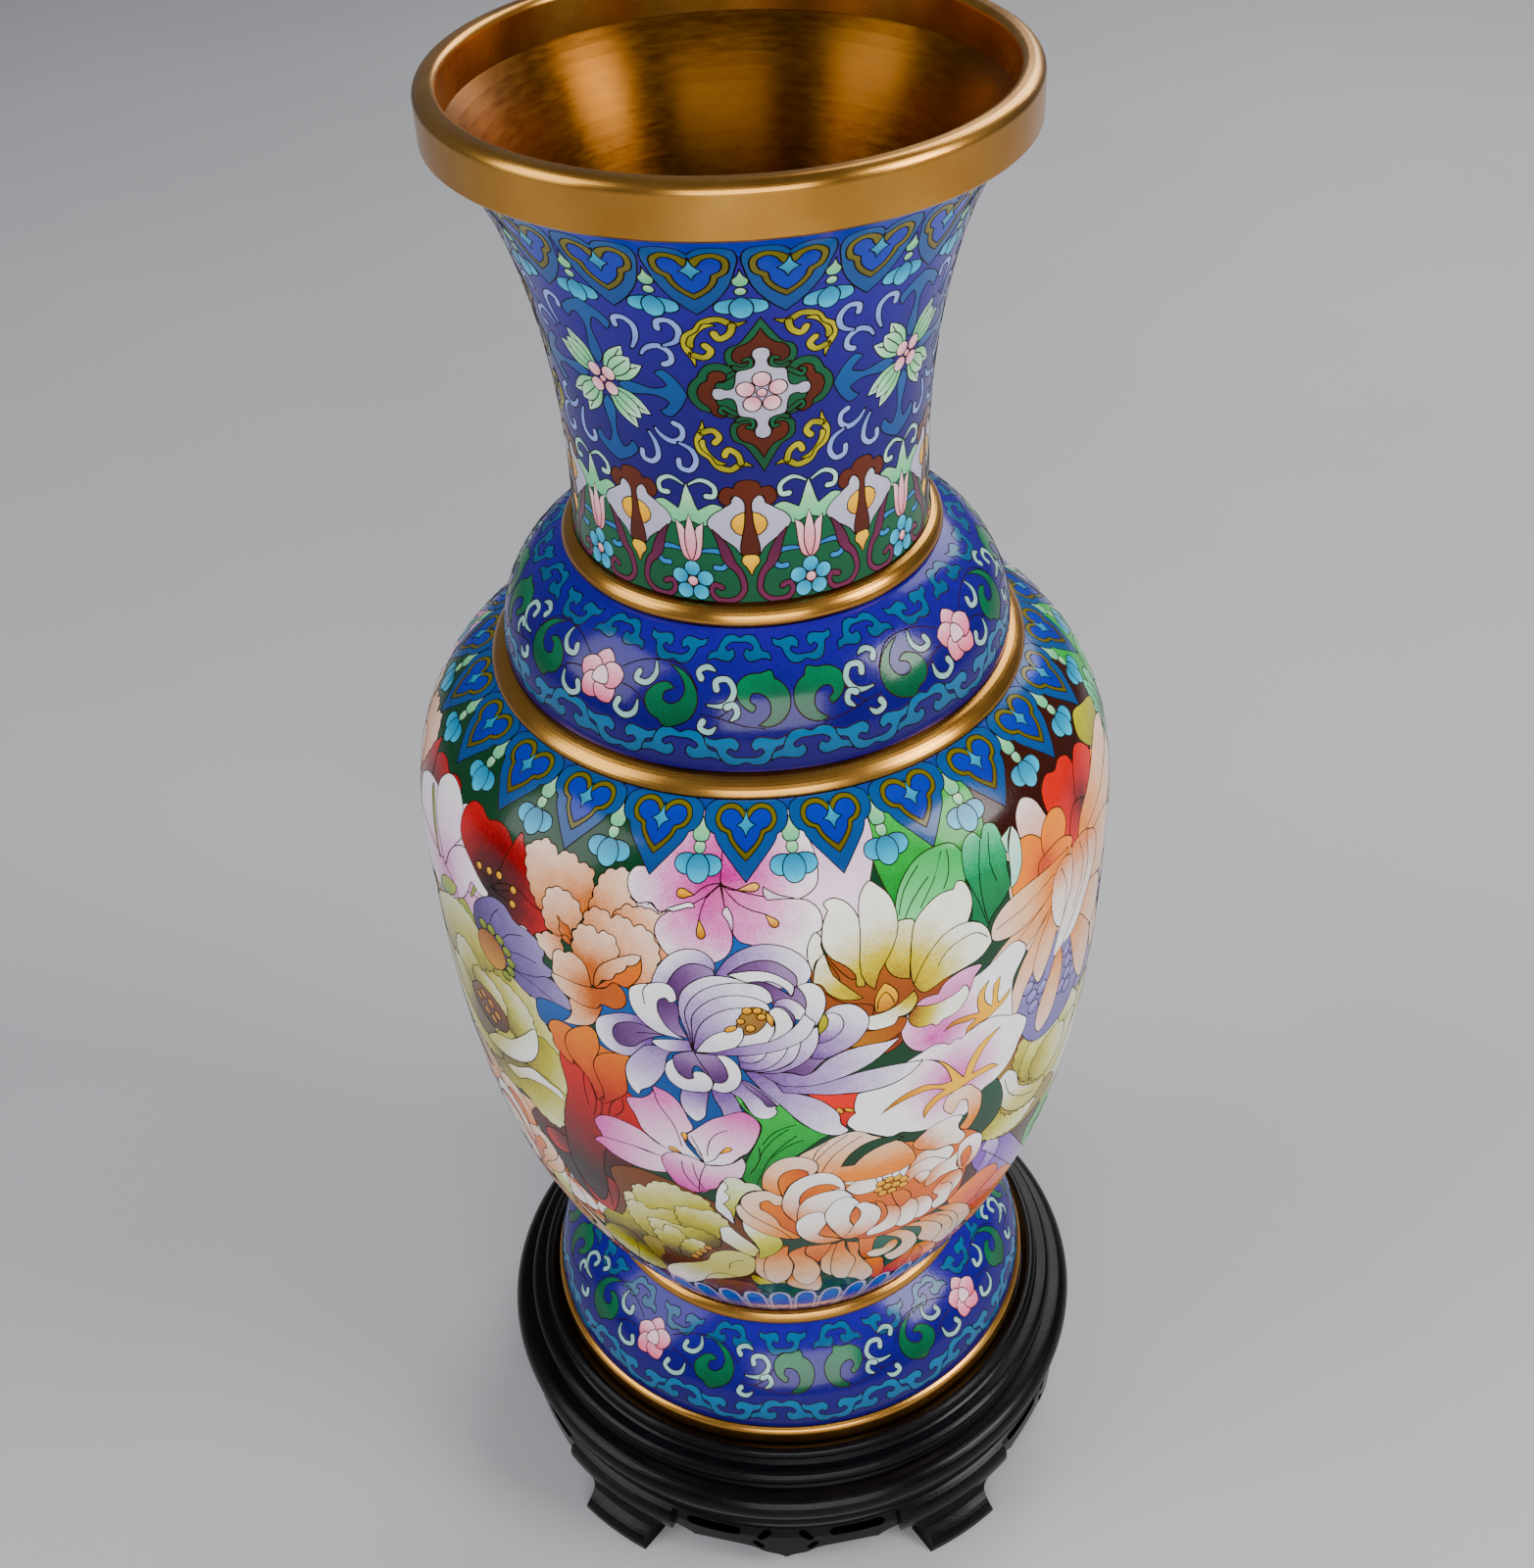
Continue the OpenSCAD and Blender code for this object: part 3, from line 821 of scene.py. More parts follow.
def cross_flower(pen):
    """Pink flower with four pairs of mint leaves and lavender scrolls."""
    anchor(pen, 20.6)
    anchor(pen.at(turn=180), 20.6)
    anchor(pen.at(turn=90), 19.6)
    anchor(pen.at(turn=-90), 19.6)
    for turn in (0, 180):
        for q in both(pen.at(turn=turn)):
            q.line([(-9.5, 10.6), (-11, 14.2), (-10.8, 17), (-9, 18.4), (-7.2, 17.8), (-7.1, 16)],
                   [.8, 1.4, 1.5, 1.4, 1.5], LAVENDER)
            q.line([(-11.2, 9.3), (-12.6, 11.2), (-15.2, 12.2), (-17.3, 10.6), (-17.2, 8.4),
                    (-15.7, 7.5)], [.8, 1.4, 1.5, 1.4, 1.5], LAVENDER)
            q.line([(-16.2, 12.4), (-19, 14), (-19.7, 17), (-18, 19.2), (-16, 18.7), (-15.8, 16.8)],
                   [.8, 1.4, 1.5, 1.4, 1.5], LAVENDER)
            for lean, long in ((60, 12.6), (34, 12.8), (47, 11.4)):
                leaf = q.at(turn=lean)
                leaf.half([(0, 1.6, 1), (1.3, 4), (2.1, 7), (1.7, 9.4), (0, long, 1)], MINT,
                          [(0, 2), (0, long)])
                leaf.vein([(0, 2.6), (0.2, 6), (0, long - 1.4)])
    plum_blossom(pen, 2.7, 1.8, .9, PINK, PINK, count=4, start=45)


def tulip_border(pen):
    """One repeat of the neck's lower border, centred on the brown T."""
    for k in both(pen):
        k.line([(13.3, 29.8), (9.9, 31.3), (7.3, 29.4), (7.6, 27.4), (9.3, 27.3)], [.6, 1.2, 1.3, 1.5],
               PALE_MINT)
    pen.half([(0, 27.9), (-1.4, 27.9), (-3, 27.5), (-4.2, 25.6), (-6, 24.2), (-8.6, 22.3), (-9.6, 20.4),
              (-8.3, 18.2), (-5.6, 16.2), (-3.4, 14.4), (-2, 12.4), (0, 11)], GREY_LILAC)
    pen.disc(0, 20.3, 4.2, GOLD_YELLOW, ry=3.2)
    for k in both(pen):
        k.line([(-8.6, 18.8), (-6.6, 15.6), (-5.5, 12.5), (-4.6, 10.4), (-3, 8.6), (-2, 6), (-1.9, 3.6),
                (-3.4, 1.6), (-6, .9), (-8.4, 1.4), (-9.4, 3), (-8.7, 4.8), (-7, 4.2)],
               [.3, 1.4, 2.4, 2.8, 2, 1.6, 1.5, 1.4, 1.4, 1.4, 1.4, 1.3, 1.5],
               shades("5f2f48", "743c58"))
    pen.half([(0, 31.6), (-2.6, 30.7), (-3.1, 29.5, 1), (-5, 29.7), (-6.4, 28.1), (-6.4, 26.2),
              (-5, 25), (-3.8, 25.8), (-3.7, 27), (-2.6, 27.6), (-1.2, 26.6), (-.9, 22), (-.95, 12),
              (0, 12)], BROWN)
    pen.half([(0, 12.6), (-1.6, 12.3), (-2.1, 10.9), (-.9, 9.2), (0, 7.2, 1)], GOLD_YELLOW)


def tulip(pen):
    """Mint crown, pink tulip and turquoise blossom between two grey medallions."""
    for k in both(pen):
        k.line([(1.2, 12.6), (4.4, 13.4), (7.4, 12.9), (8.5, 11), (7.4, 9.2), (5.6, 9.2)],
               [.4, 1.3, 1.4, 1.3, 1.5], shades("1878b8", "2a90cc"))
    pen.half([(0, 30.2, 1), (-1.2, 27), (-2, 24.4), (-2.4, 23.6, 1), (-4, 24.6), (-5.8, 25.4),
              (-8.2, 24.6, 1), (-6.4, 22.6), (-4.8, 21), (-4.2, 19.8), (0, 20.6)], MINT)
    for k in both(pen):
        k.fill([(-3.4, 20.5, 1), (-3, 17), (-2.7, 14), (-1.6, 11), (0, 10.2), (0, 14), (-1.6, 19.2, 1)],
               PINK, [(0, 10), (-3, 20)])
    pen.half([(0, 22.4, 1), (-1.2, 18), (-1.1, 13), (0, 10.4)], PINK, [(0, 10), (0, 22)])
    plum_blossom(pen.at(0, 5.3), 3.2, 2, 1.3, TURQUOISE, PINK, start=90)


def draw_neck(band):
    """Lappets under the rim, medallions and cross flowers round the middle, tulips at the foot."""
    # Degrees round the vase that each motif takes, and where the border of the front stands
    border, lappet_step, medallion_step = 36, 20, 90
    border_at = -1
    pen = Pen(band)
    degree = band.mm_per_degree
    pen.add([np.array([(-150, 90), (150, 90), (150, 100), (-150, 100)])], PERIWINKLE)
    repeat = border * degree
    ground = []
    for k in range(-5, 5):
        x = (border_at + border * k) * degree
        ground += [(x, 20.5, 1), (x + repeat * .25, 20.5), (x + repeat * .5, 20.5, 1),
                   (x + repeat * .75, 20.5)]
    end = (border_at + border * 5) * degree
    pen.fill(ground + [(end, 20.5, 1), (end, -3, 1), (ground[0][0], -3, 1)], GREEN)
    for k in range(10):
        x = (border_at + border * (k - 5)) * degree
        tulip(pen.at(x + repeat / 2, group="tulip_%d" % (k + 1)))
        tulip_border(pen.at(x, group="border_%d" % (k + 1)))
    for k in range(18):
        x = lappet_step * (k - 9)
        lappet(pen.at((10 + x) * degree, group="lappet_%d" % (k + 1)))
        pendant(pen.at(x * degree, group="pendant_%d" % (k + 1)))
    for k in range(4):
        x = 4.2 + medallion_step * (k - 2)
        medallion(pen.at(x * degree, 53.5, group="medallion_%d" % (k + 1)))
        x = -40.8 + medallion_step * (k - 1)
        cross_flower(pen.at(x * degree, 52.8, group="cross_%d" % (k + 1)))


# ---------------------------------------------------------------- collar and foot

FRET_BLUE = shades("0f6288", "1474a0")
LEAF_GREEN = shades("17583c", "226c4e", "2e7e5a")
VINE_BLUE = shades("8fb8b4", "a4c8c4")


def fret(pen):
    """Bracket-shaped cloud of the border rows."""
    pen.half([(0, 6.6), (-1.6, 7.3), (-4.2, 6.9), (-5.6, 5), (-6.3, 3.2), (-8.2, 2.4), (-8.6, .4, 1),
              (-6.6, 1.1), (-4.8, .7), (-2.4, .6), (-1.2, 2.2), (-2, 3.7), (-3.2, 3.1), (-3.9, 3.8),
              (-2.6, 5.1), (0, 5.3)], FRET_BLUE)


def fret_row(pen, count, first, y, height):
    """Frets all the way round, every second one upside down. The first degree sets their start."""
    drawn_height = 6.6
    step = pen.band.around / count
    size = height / drawn_height
    for k in range(count):
        x = first * pen.band.mm_per_degree + (k - count // 2) * step
        fret(pen.at(x, y, size))
        fret(pen.at(x + step / 2, y + height, size, turn=180))


def comma_leaf(pen):
    """Green leaf curled into a hook."""
    pen.fill([(-.9, 12.6, 1), (.8, 12.1), (4, 13), (6.3, 16), (6.3, 20), (4.8, 22), (3.4, 22.8, 1),
              (2.6, 24.7), (0, 24.2), (-3, 24), (-5.6, 22), (-5.7, 19), (-4, 16.6), (-2, 15.6),
              (-1.4, 16.8), (-2.7, 18), (-2.3, 19.5), (0, 19.5), (1.6, 18), (1.9, 15.4)], LEAF_GREEN,
             [(3, 12), (-2, 24)])


def curled_leaf(pen):
    """Large green leaf rolled in on itself."""
    pen.fill([(30.5, 25.4, 1), (24, 22.6), (21.8, 18), (23, 14), (26.6, 11.5), (29.4, 11),
              (30.8, 12.4, 1), (33.2, 13.6), (34.6, 16.8), (32.6, 20), (29.2, 21), (27.8, 20),
              (29.9, 18.8), (30.1, 17.2), (28.6, 16.4), (26, 17.5), (25.1, 20), (26.6, 22.8)],
             LEAF_GREEN, [(26, 11), (30, 24)])


def prunus(pen):
    """Five pointed pink petals round a triangular heart."""
    for turn in (0, 72, 144, 216, 288):
        petal = pen.at(turn=turn)
        petal.half([(0, 6.6, 1), (-1.8, 5.6), (-3, 3.6), (-2.6, 1.4), (0, .4)],
                   shades("e48aa0", "efa8b8", "f6ccd6"))
    pen.fill([(0, 2.6), (-1.8, 1.2), (-2.2, -1.2), (0, -1.7), (2.2, -1.2), (1.8, 1.2)], shades("f0d4dc"))


def scroll_repeat(pen, spread, number):
    """Leaves and curls either side of the middle pair, and the flower at the end of the repeat."""
    for side, name in ((pen, "right"), (pen.at(flip=True), "left")):
        near = side.at(7 * spread, flip=True, group="leaf_%s_%d" % (name, number))
        for root in ([(6.5, 11.7), (11, 12.4), (17, 14.2), (21, 14.8)],
                     [(22, 20), (26, 24.8), (31, 25.8), (37, 24.8), (42, 22)],
                     [(17, 14.2), (14, 16.5), (11.5, 20.5), (8, 24)],
                     [(34, 15), (37, 17.5), (41, 18.4)]):
            side.vein([(x * spread, y) for x, y in root])
        comma_leaf(near)
        far = side.at(28 * (spread - 1), group="far_leaf_%s_%d" % (name, number))
        curled_leaf(far)
        curls = side.at(group="curl_%s_%d" % (name, number))
        for line in ([(19.6, 17), (15, 17.4), (13.4, 20.4), (15, 22.8), (17.8, 22.2), (17.5, 20.6)],
                     [(33.5, 25.2), (32.9, 22.2), (35, 19.9), (37.6, 20.5), (37.2, 22)],
                     [(36.2, 15.8), (36.8, 12.6), (39.4, 11.4), (41.6, 12.8), (41, 14.6)],
                     [(14.2, 13.6), (12.6, 15.4), (13.4, 17.2), (15, 16.7)],
                     [(18, 24.6), (20.4, 25.4), (22.2, 24.2), (21.4, 22.8)],
                     [(17.4, 12.2), (19, 10.8), (21, 11.8), (20.4, 13.2)]):
            curls.line([(x * spread, y) for x, y in line], [.6, 1.5, 1.6, 1.5, 1.8], VINE_BLUE)
    prunus(pen.at(47 * spread, 18.2, group="prunus_%d" % number))


def draw_scrolls(band, start, upper, lower, size):
    """Band of leaves and flowers between two rows of frets, each given by its count and start."""
    repeats, drawn_width, drawn_middle = 4, 94.2, 18
    pen = Pen(band)
    fret_row(pen, *upper, 26.4 * size, 6.3)
    fret_row(pen, *lower, 3.4 * size, 6.9)
    spread = band.around / repeats / drawn_width
    for k in range(repeats):
        middle = (start + 90 * (k - 2)) * band.mm_per_degree
        shifted = middle if middle > -band.around / 2 else middle + band.around
        scroll_repeat(pen.at(shifted, (1 - size) * drawn_middle), spread, k + 1)


def draw_collar(band):
    """Scrolls of the domed collar under the neck."""
    draw_scrolls(band, 6.7, (11, -5), (13, 10), 1)


def draw_foot(band):
    """Scrolls of the domed foot."""
    draw_scrolls(band, 5.7, (12, -18.5), (15, -4), 0.95)


# ---------------------------------------------------------------- shoulder

def shoulder_lappet(pen):
    """Broad hanging heart with a mustard trefoil round a small blossom."""
    pen.half([(0, 198.6, 1), (-2.5, 201.6), (-6, 205.6), (-8, 208.2), (-8.4, 209.3, 1), (-10.5, 210.5),
              (-11.7, 213), (-11.4, 216), (-9, 217.6), (0, 217.8, 1)], TEAL_BLUE)
    pen.half([(0, 203.4, 1), (-3.3, 206.6), (-4.6, 208.4), (-5, 209.4), (-7, 210.3), (-8.6, 212.6),
              (-7.9, 215.4), (-4.6, 216.9), (-1.7, 216.2), (0, 214.4, 1)], MUSTARD)
    pen.half([(0, 205.2, 1), (-2.3, 207.2), (-3.6, 209), (-4, 210.2), (-5.8, 211), (-7.2, 212.8),
              (-6.6, 214.7), (-4.2, 215.5), (-2.2, 214.8), (-1, 213.4), (0, 212.6)],
             shades("1c34a4", "2c48b8"))
    pen.half([(0, 208.6, 1), (-1, 210.6), (-2.7, 211.5, 1), (-1.2, 212.4), (0, 216, 1)], TURQUOISE)


def shoulder_pendant(pen):
    """Bell flower that hangs between two of the shoulder's lappets."""
    for side in both(pen):
        side.fill([(1, 204.4), (3, 204.7), (5.4, 203.8), (6, 201.8), (4.6, 200.2), (2, 200)], TURQUOISE,
                  [(0, 205), (4, 199)])
    pen.half([(0, 204.9), (-1.8, 204), (-2.9, 201.4), (-1.9, 198.8), (0, 198)], TURQUOISE,
             [(0, 205), (0, 198)])
    pen.disc(0, 206.2, 1.6, MINT)
    pen.half([(0, 213.4, 1), (-.8, 211.4), (-2.3, 209.6), (-1.7, 207.8), (0, 207.4)], MINT)


def draw_shoulder(pen):
    """Ring of lappets and pendants under a dusty blue edge."""
    count = 23
    band = pen.band
    step = band.around / count
    first = -4 * band.mm_per_degree
    half = band.around / 2
    pen.add([np.array([(-half, 214.8), (half, 214.8), (half, 222), (-half, 222)])],
            shades("4a5ea0", "5468a8"))
    for k in range(count):
        x = first + (k - count // 2) * step
        shoulder_pendant(pen.at(x + step / 2, group="pendant_%d" % (k + 1)))
        shoulder_lappet(pen.at(x, group="lappet_%d" % (k + 1)))


# ---------------------------------------------------------------- belly: the front

BELLY_GROUND = shades("063c22", "094c2d")
LILAC = shades("80609c", "bfadd2", "f1edf5")
PURPLE = shades("60406e", "80628e", "a08aae")
WHITE = shades("d8d4e4", "f0eef2", "f6f5f5")
LILY = shades("c03c90", "e49ac8", "f6f2f5")
PEACH = shades("c06a3a", "ebb99a", "f5dac8")
ORANGE = shades("b01000", "d26000", "e28400")
BLUE = shades("0a4f90", "0c62a8")
RED = shades("2c0206", "8e0808", "c81408")
STAMEN = shades("b87800", "ecac00", "f4c000")
LEAF = shades("1f7a38", "3aa650", "66c070")


def petals(pen, rows, inks, centre, lobed=False):
    """Petals from the back one to the front one, shaded outwards from the flower's centre."""
    for row in rows:
        far = max(row, key=lambda p: math.hypot(p[0] - centre[0], p[1] - centre[1]))
        near = min(row, key=lambda p: math.hypot(p[0] - centre[0], p[1] - centre[1]))
        outline = ruffled(smooth(row)) if lobed else smooth(row)
        pen.add([outline], inks, [near[:2], far[:2]])


def ruffled(outline, pitch=3.4, depth=0.6, steps=6):
    """An outline with small round lobes all along it, like the edge of a peony's petal."""
    ring = np.concatenate([outline, outline[:1]])
    far = np.concatenate([[0], np.cumsum(np.hypot(*np.diff(ring, axis=0).T))])
    lobes = max(3, round(far[-1] / pitch))
    at = np.linspace(0, 1, lobes * steps, endpoint=False)
    places = np.stack([np.interp(at * far[-1], far, ring[:, k]) for k in (0, 1)], 1)
    run = np.roll(places, -1, 0) - np.roll(places, 1, 0)
    run /= np.hypot(*run.T)[:, None] + 1e-9
    nearby = np.roll(places, -1, 0)
    way = np.sign((places[:, 0] * nearby[:, 1] - places[:, 1] * nearby[:, 0]).sum())
    outward = np.stack([run[:, 1], -run[:, 0]], 1) * way
    return places + outward * depth * (abs(np.sin(math.pi * at * lobes)) - 0.5)[:, None]


def glow(centre, radius):
    """Inks that spread out evenly from a centre."""
    return [centre, (centre[0] + radius, centre[1]), centre]


def stamen(pen, root, neck, tip, width):
    """Thread that ends in a yellow drop."""
    ahead = np.subtract(tip, neck)
    aside = np.array([-ahead[1], ahead[0]]) / np.hypot(*ahead) * width / 2
    middle = ((root[0] + neck[0]) / 2 + (neck[1] - root[1]) * 0.12,
              (root[1] + neck[1]) / 2 - (neck[0] - root[0]) * 0.12)
    pen.vein([root, middle, neck])
    shape = [(0.45, 0.55), (0.85, 1), (1.15, 0.85), (1.3, 0), (1.15, -0.85), (0.85, -1), (0.45, -0.55)]
    drop = [(*neck, 1)] + [tuple(neck + ahead * along + aside * out) for along, out in shape]
    pen.fill(drop, STAMEN)


def lilac_chrysanthemum(pen):
    """Big lilac flower in the middle of the front, drawn from its back petals to its heart."""
    lilac_long_petals(pen)
    lilac_right_petals(pen)
    lilac_left_petals(pen)
    lilac_low_petals(pen)
    lilac_arches(pen)
    lilac_curl(pen)
    lilac_middle(pen)
    lilac_heart(pen)


def lilac_long_petals(pen):
    """Long petals under the flower, and the shadow between them."""
    long_petals = [[(-24, 136.8, 1), (-24.6, 132.5), (-23.3, 128), (-21, 125.7), (-19.3, 127),
                    (-18.2, 131.7), (-17.3, 137, 1)],
                   [(-16.8, 138, 1), (-16.2, 134.9), (-14.8, 131.3), (-14.1, 126.3), (-13.7, 120.8),
                    (-13.2, 115.1), (-10.4, 114, 1), (-9.8, 118.5), (-8.9, 124), (-9.4, 128.5),
                    (-10.3, 133.5), (-12, 138, 1)],
                   [(-9, 142), (-4.8, 138.5), (-.7, 133.1), (-1.7, 132.2), (-1.4, 130.4), (-3, 128.2),
                    (-5.3, 128), (-7.3, 129.5), (-8.5, 132.2), (-9.8, 135.4), (-12.2, 137.6)],
                   [(-8.5, 145.1, 1), (-5, 144.6), (-2.6, 143), (.4, 137.6, 1), (4.3, 136.3),
                    (7.9, 134.2), (11.5, 130.4), (13.4, 127.2), (13.8, 123.5), (15.6, 120.1),
                    (13.4, 119.2), (10.2, 120.1), (6.1, 123.5), (2.5, 128.1), (-.7, 133.1),
                    (-4.8, 138.5)],
                   [(-3, 144, 1), (.3, 137.4, 1), (4.3, 136.5), (11.1, 134.9), (16.1, 134), (22, 133.6),
                    (28.6, 134.5), (32.3, 136.5), (34.4, 138.9, 1), (28, 140.4), (22.5, 141),
                    (17.9, 141), (12.5, 139.9), (7, 139.4)],
                   [(-5.3, 144.5, 1), (.2, 139.7, 1), (7, 139), (12.5, 139.9), (17.9, 141.7),
                    (21.5, 143.5), (25, 146.3), (28.5, 149.6, 1), (25, 149.4), (20.6, 149.9),
                    (15.6, 149.5), (10.6, 147.2), (7, 143.5), (5.2, 142.9), (2.5, 144), (-.3, 144.5)]]
    petals(pen, long_petals, LILAC, (-10, 146))
    pen.fill([(-9.4, 141.7, 1), (-4.8, 137.6), (-1.4, 132.8, 1), (-3.5, 132.4), (-4.8, 134.9),
              (-8, 139.2)], PURPLE)
    pen.fill([(-2.5, 144.6, 1), (2.5, 144.2), (5.2, 143), (6.5, 143.3), (8.4, 145.4), (10.6, 147.7),
              (13.4, 149), (8, 152), (4, 148)], PURPLE, [(0, 144), (12, 149)])


def lilac_right_petals(pen):
    """Petals that fan out to the right, with a green sepal behind the largest."""
    right = [[(9, 158.1), (8.8, 154), (7.9, 151.3), (7, 148.5, 1), (10.6, 147.9), (13.4, 149),
              (17, 150.8), (19.7, 154), (20.9, 158.5), (19.7, 161.7), (17, 164.4), (12, 164.6),
              (9.5, 161)],
             [(-5.3, 144.7, 1), (-.3, 145.8), (2.5, 147.6), (4.3, 151.3), (4.8, 155.4), (8.8, 159, 1),
              (8.9, 154), (7.9, 150.8), (6.2, 148.2), (2.8, 145.6), (-1, 144.3)],
             [(-8.9, 145.6, 1), (-3.9, 144.9), (.2, 146.2), (3, 148.4), (4.4, 151.8), (4.7, 155.2),
              (1.8, 153.1, 1)],
             [(-9.4, 146.2, 1), (-5.3, 145.4), (-1.6, 147.2), (.6, 149.9), (1.8, 153.4), (-4, 151.4),
              (-9, 150.6)],
             [(-9.8, 148.6, 1), (-6.6, 148), (-4.2, 149.4), (-3, 151.6), (-9.8, 151, 1)]]
    petals(pen, right, LILAC, (-12, 147))
    pen.fill([(11, 162.9, 1), (13.4, 162.2), (14.6, 160.2), (14.8, 157.6), (13.4, 155.2), (11.4, 153.7),
              (8.8, 153.2, 1), (9.3, 156.5, 1)], LILAC, [(9, 153), (12, 162)])
    pen.fill([(10.4, 163, 1), (11.3, 160.4), (10.5, 157.6), (9.1, 156.3, 1), (9, 159.5)],
             shades("98922c", "c4ba3c"))


def lilac_left_petals(pen):
    """Two broad petals on the left, with their shaded hollow."""
    left = [[(-30.3, 156.7, 1), (-32.5, 159.9, 1), (-36.2, 159.7), (-40.7, 157.6), (-43.5, 155.4),
             (-44.6, 152.2), (-44.1, 148.5), (-42.1, 145.8), (-38.9, 144.7), (-36.2, 145.1),
             (-34, 147.6, 1), (-30, 151)],
            [(-24, 154, 1), (-27, 151.2), (-31.6, 150.4), (-34.4, 147.2), (-36.6, 144), (-37.8, 140.4),
             (-37.8, 136.3), (-36.6, 133.1), (-35.2, 131.7), (-34.5, 133.4), (-31.6, 135.8),
             (-29.4, 139), (-27.8, 142.2), (-27.1, 145.8), (-26, 149), (-22, 151, 1)]]
    petals(pen, left, LILAC, (-24, 154))
    pen.fill([(-22.4, 155, 1), (-27.1, 154.7), (-31.6, 152.2), (-34.6, 149, 1), (-36.6, 148.3),
              (-38.5, 148.3), (-39.8, 149.9), (-40, 152.2), (-38.9, 154.9), (-36.2, 156.7),
              (-31.6, 157), (-28, 155.4)], PURPLE, [(-40, 150), (-24, 155)])
    pen.vein([(-23, 154.8), (-28.6, 155), (-33.6, 154)])
    pen.fill([(-20.4, 154.4, 1), (-24, 154.2), (-30, 152), (-27, 149.8), (-22, 150.6), (-20, 151, 1)],
             LILAC, [(-20, 152), (-29, 151)])


def lilac_low_petals(pen):
    """Two hooked white petals under the middle, with their shaded hollows."""
    pen.fill([(-22.6, 150.2, 1), (-25, 148.6), (-25.1, 145), (-24, 142.2), (-22.1, 140.8),
              (-20.4, 141.7), (-20.9, 143.4), (-20, 146), (-16.5, 141.5), (-17.5, 146), (-20, 151, 1)],
             PURPLE, [(-23, 141), (-20, 150)])
    pen.fill([(-25.3, 147.5, 1), (-27, 145.5), (-27.6, 142.4), (-26.4, 139), (-23.6, 136.8),
              (-20.3, 136.6), (-17.5, 137.2), (-16.2, 139.5), (-16.6, 142.2), (-18.5, 144),
              (-20.5, 143.7), (-20.8, 142.6, 1), (-20.6, 141.6, 1), (-22.1, 140.9), (-24, 142.2),
              (-25.1, 145)], WHITE)
    pen.fill([(-20, 150.4, 1), (-17.1, 143.5), (-15.7, 140.8), (-13.6, 140.4), (-12.3, 143.8),
              (-13, 147.2), (-15.3, 150.8, 1)], PURPLE, [(-14, 141), (-18, 150)])
    pen.fill([(-15.3, 150.8, 1), (-12.6, 150.2), (-10.6, 148.4), (-9.4, 145.4), (-9.4, 142),
              (-10.7, 139), (-13.5, 137.2), (-16.6, 138.1, 1), (-15.8, 140.8, 1), (-14.2, 140.6),
              (-12.6, 142.4), (-12.6, 145), (-13.6, 148)], WHITE, [(-13.5, 137), (-12, 150)])


def lilac_arches(pen):
    """Arched petals over the top, their hollows, and the petals that curl down to the right."""
    arches = [[(-28.9, 171, 1), (-27.1, 176.3), (-23.9, 180.4), (-20.3, 182.2), (-17.5, 182.2),
               (-14.8, 180.6), (-13.7, 178.5), (-13.9, 176.6, 1), (-17, 172), (-22, 168)],
              [(-13.9, 175.4, 1), (-13.2, 177), (-11.2, 180.1), (-8, 182.6), (-3.5, 184.1),
               (1.1, 183.6), (5.2, 181.3), (7.5, 178.1), (7.9, 175.2), (6.1, 172.6), (4.3, 172),
               (0, 172)]]
    petals(pen, arches, LILAC, (-14, 168))
    for shape in ([(-25, 171.8, 1), (-23.5, 175), (-20.3, 178.1), (-17.1, 178.5), (-14.2, 177.2, 1),
                   (-13.9, 175.6), (-17.5, 172), (-20.7, 168), (-23, 167)],
                  [(-11, 176.1, 1), (-8, 178.5), (-4.8, 179.8), (-.7, 179.7), (2.5, 177.6),
                   (4.5, 174.9), (4.4, 171.9, 1), (0, 174)]):
        pen.fill(shape, PURPLE, [shape[0][:2], shape[4][:2]])
    pen.fill([(-11, 176.1, 1), (-5.7, 177.2), (-1.6, 176.7), (1.5, 174.9), (3.9, 172), (3.1, 169.6),
              (2, 171.5), (-1.2, 174), (-6.2, 173.4, 1)], WHITE)
    pen.fill([(-6.8, 173.9, 1), (-3, 174.1), (-.3, 172.5), (2, 170.6), (3.2, 169.4), (4.2, 172.2),
              (6.1, 169.5), (6.6, 166.7), (6.1, 164.4, 1), (3, 165), (-2, 168)], PURPLE,
             [(-5, 173), (6, 165)])
    pen.fill([(4.5, 172.3, 1), (7.5, 172.9), (9.7, 171.3), (10.9, 167.6), (10.4, 163.5),
              (8.6, 159.4, 1), (5, 162), (6.4, 166), (6, 169.5)], WHITE, [(6, 160), (8, 173)])


def lilac_curl(pen):
    """White petal curled over on the left."""
    curl = [(-34.6, 165.8), (-34.1, 168.5), (-31.6, 170.4), (-29.4, 171), (-26.6, 172), (-24.4, 171.5),
            (-23.2, 169.5), (-23.4, 166.8), (-24.8, 166.3), (-25.5, 167.4), (-27.1, 166.7),
            (-27.8, 164), (-27.1, 160.4), (-25.3, 157.2), (-22, 154.6, 1), (-25.3, 154.9), (-28, 155.4),
            (-31.2, 157.6), (-33.5, 160.8)]
    pen.fill([(-24.6, 167.2), (-23, 166), (-22.8, 160), (-21, 155, 1), (-25.3, 156.6), (-27.6, 160.4),
              (-28, 164), (-27, 167)], PURPLE, [(-26, 167), (-22, 155)])
    pen.fill(curl, WHITE, [(-24, 156), (-30, 170)])
    pen.vein([(-29.4, 171), (-30.8, 169), (-31, 166.4), (-30.8, 164.3)])


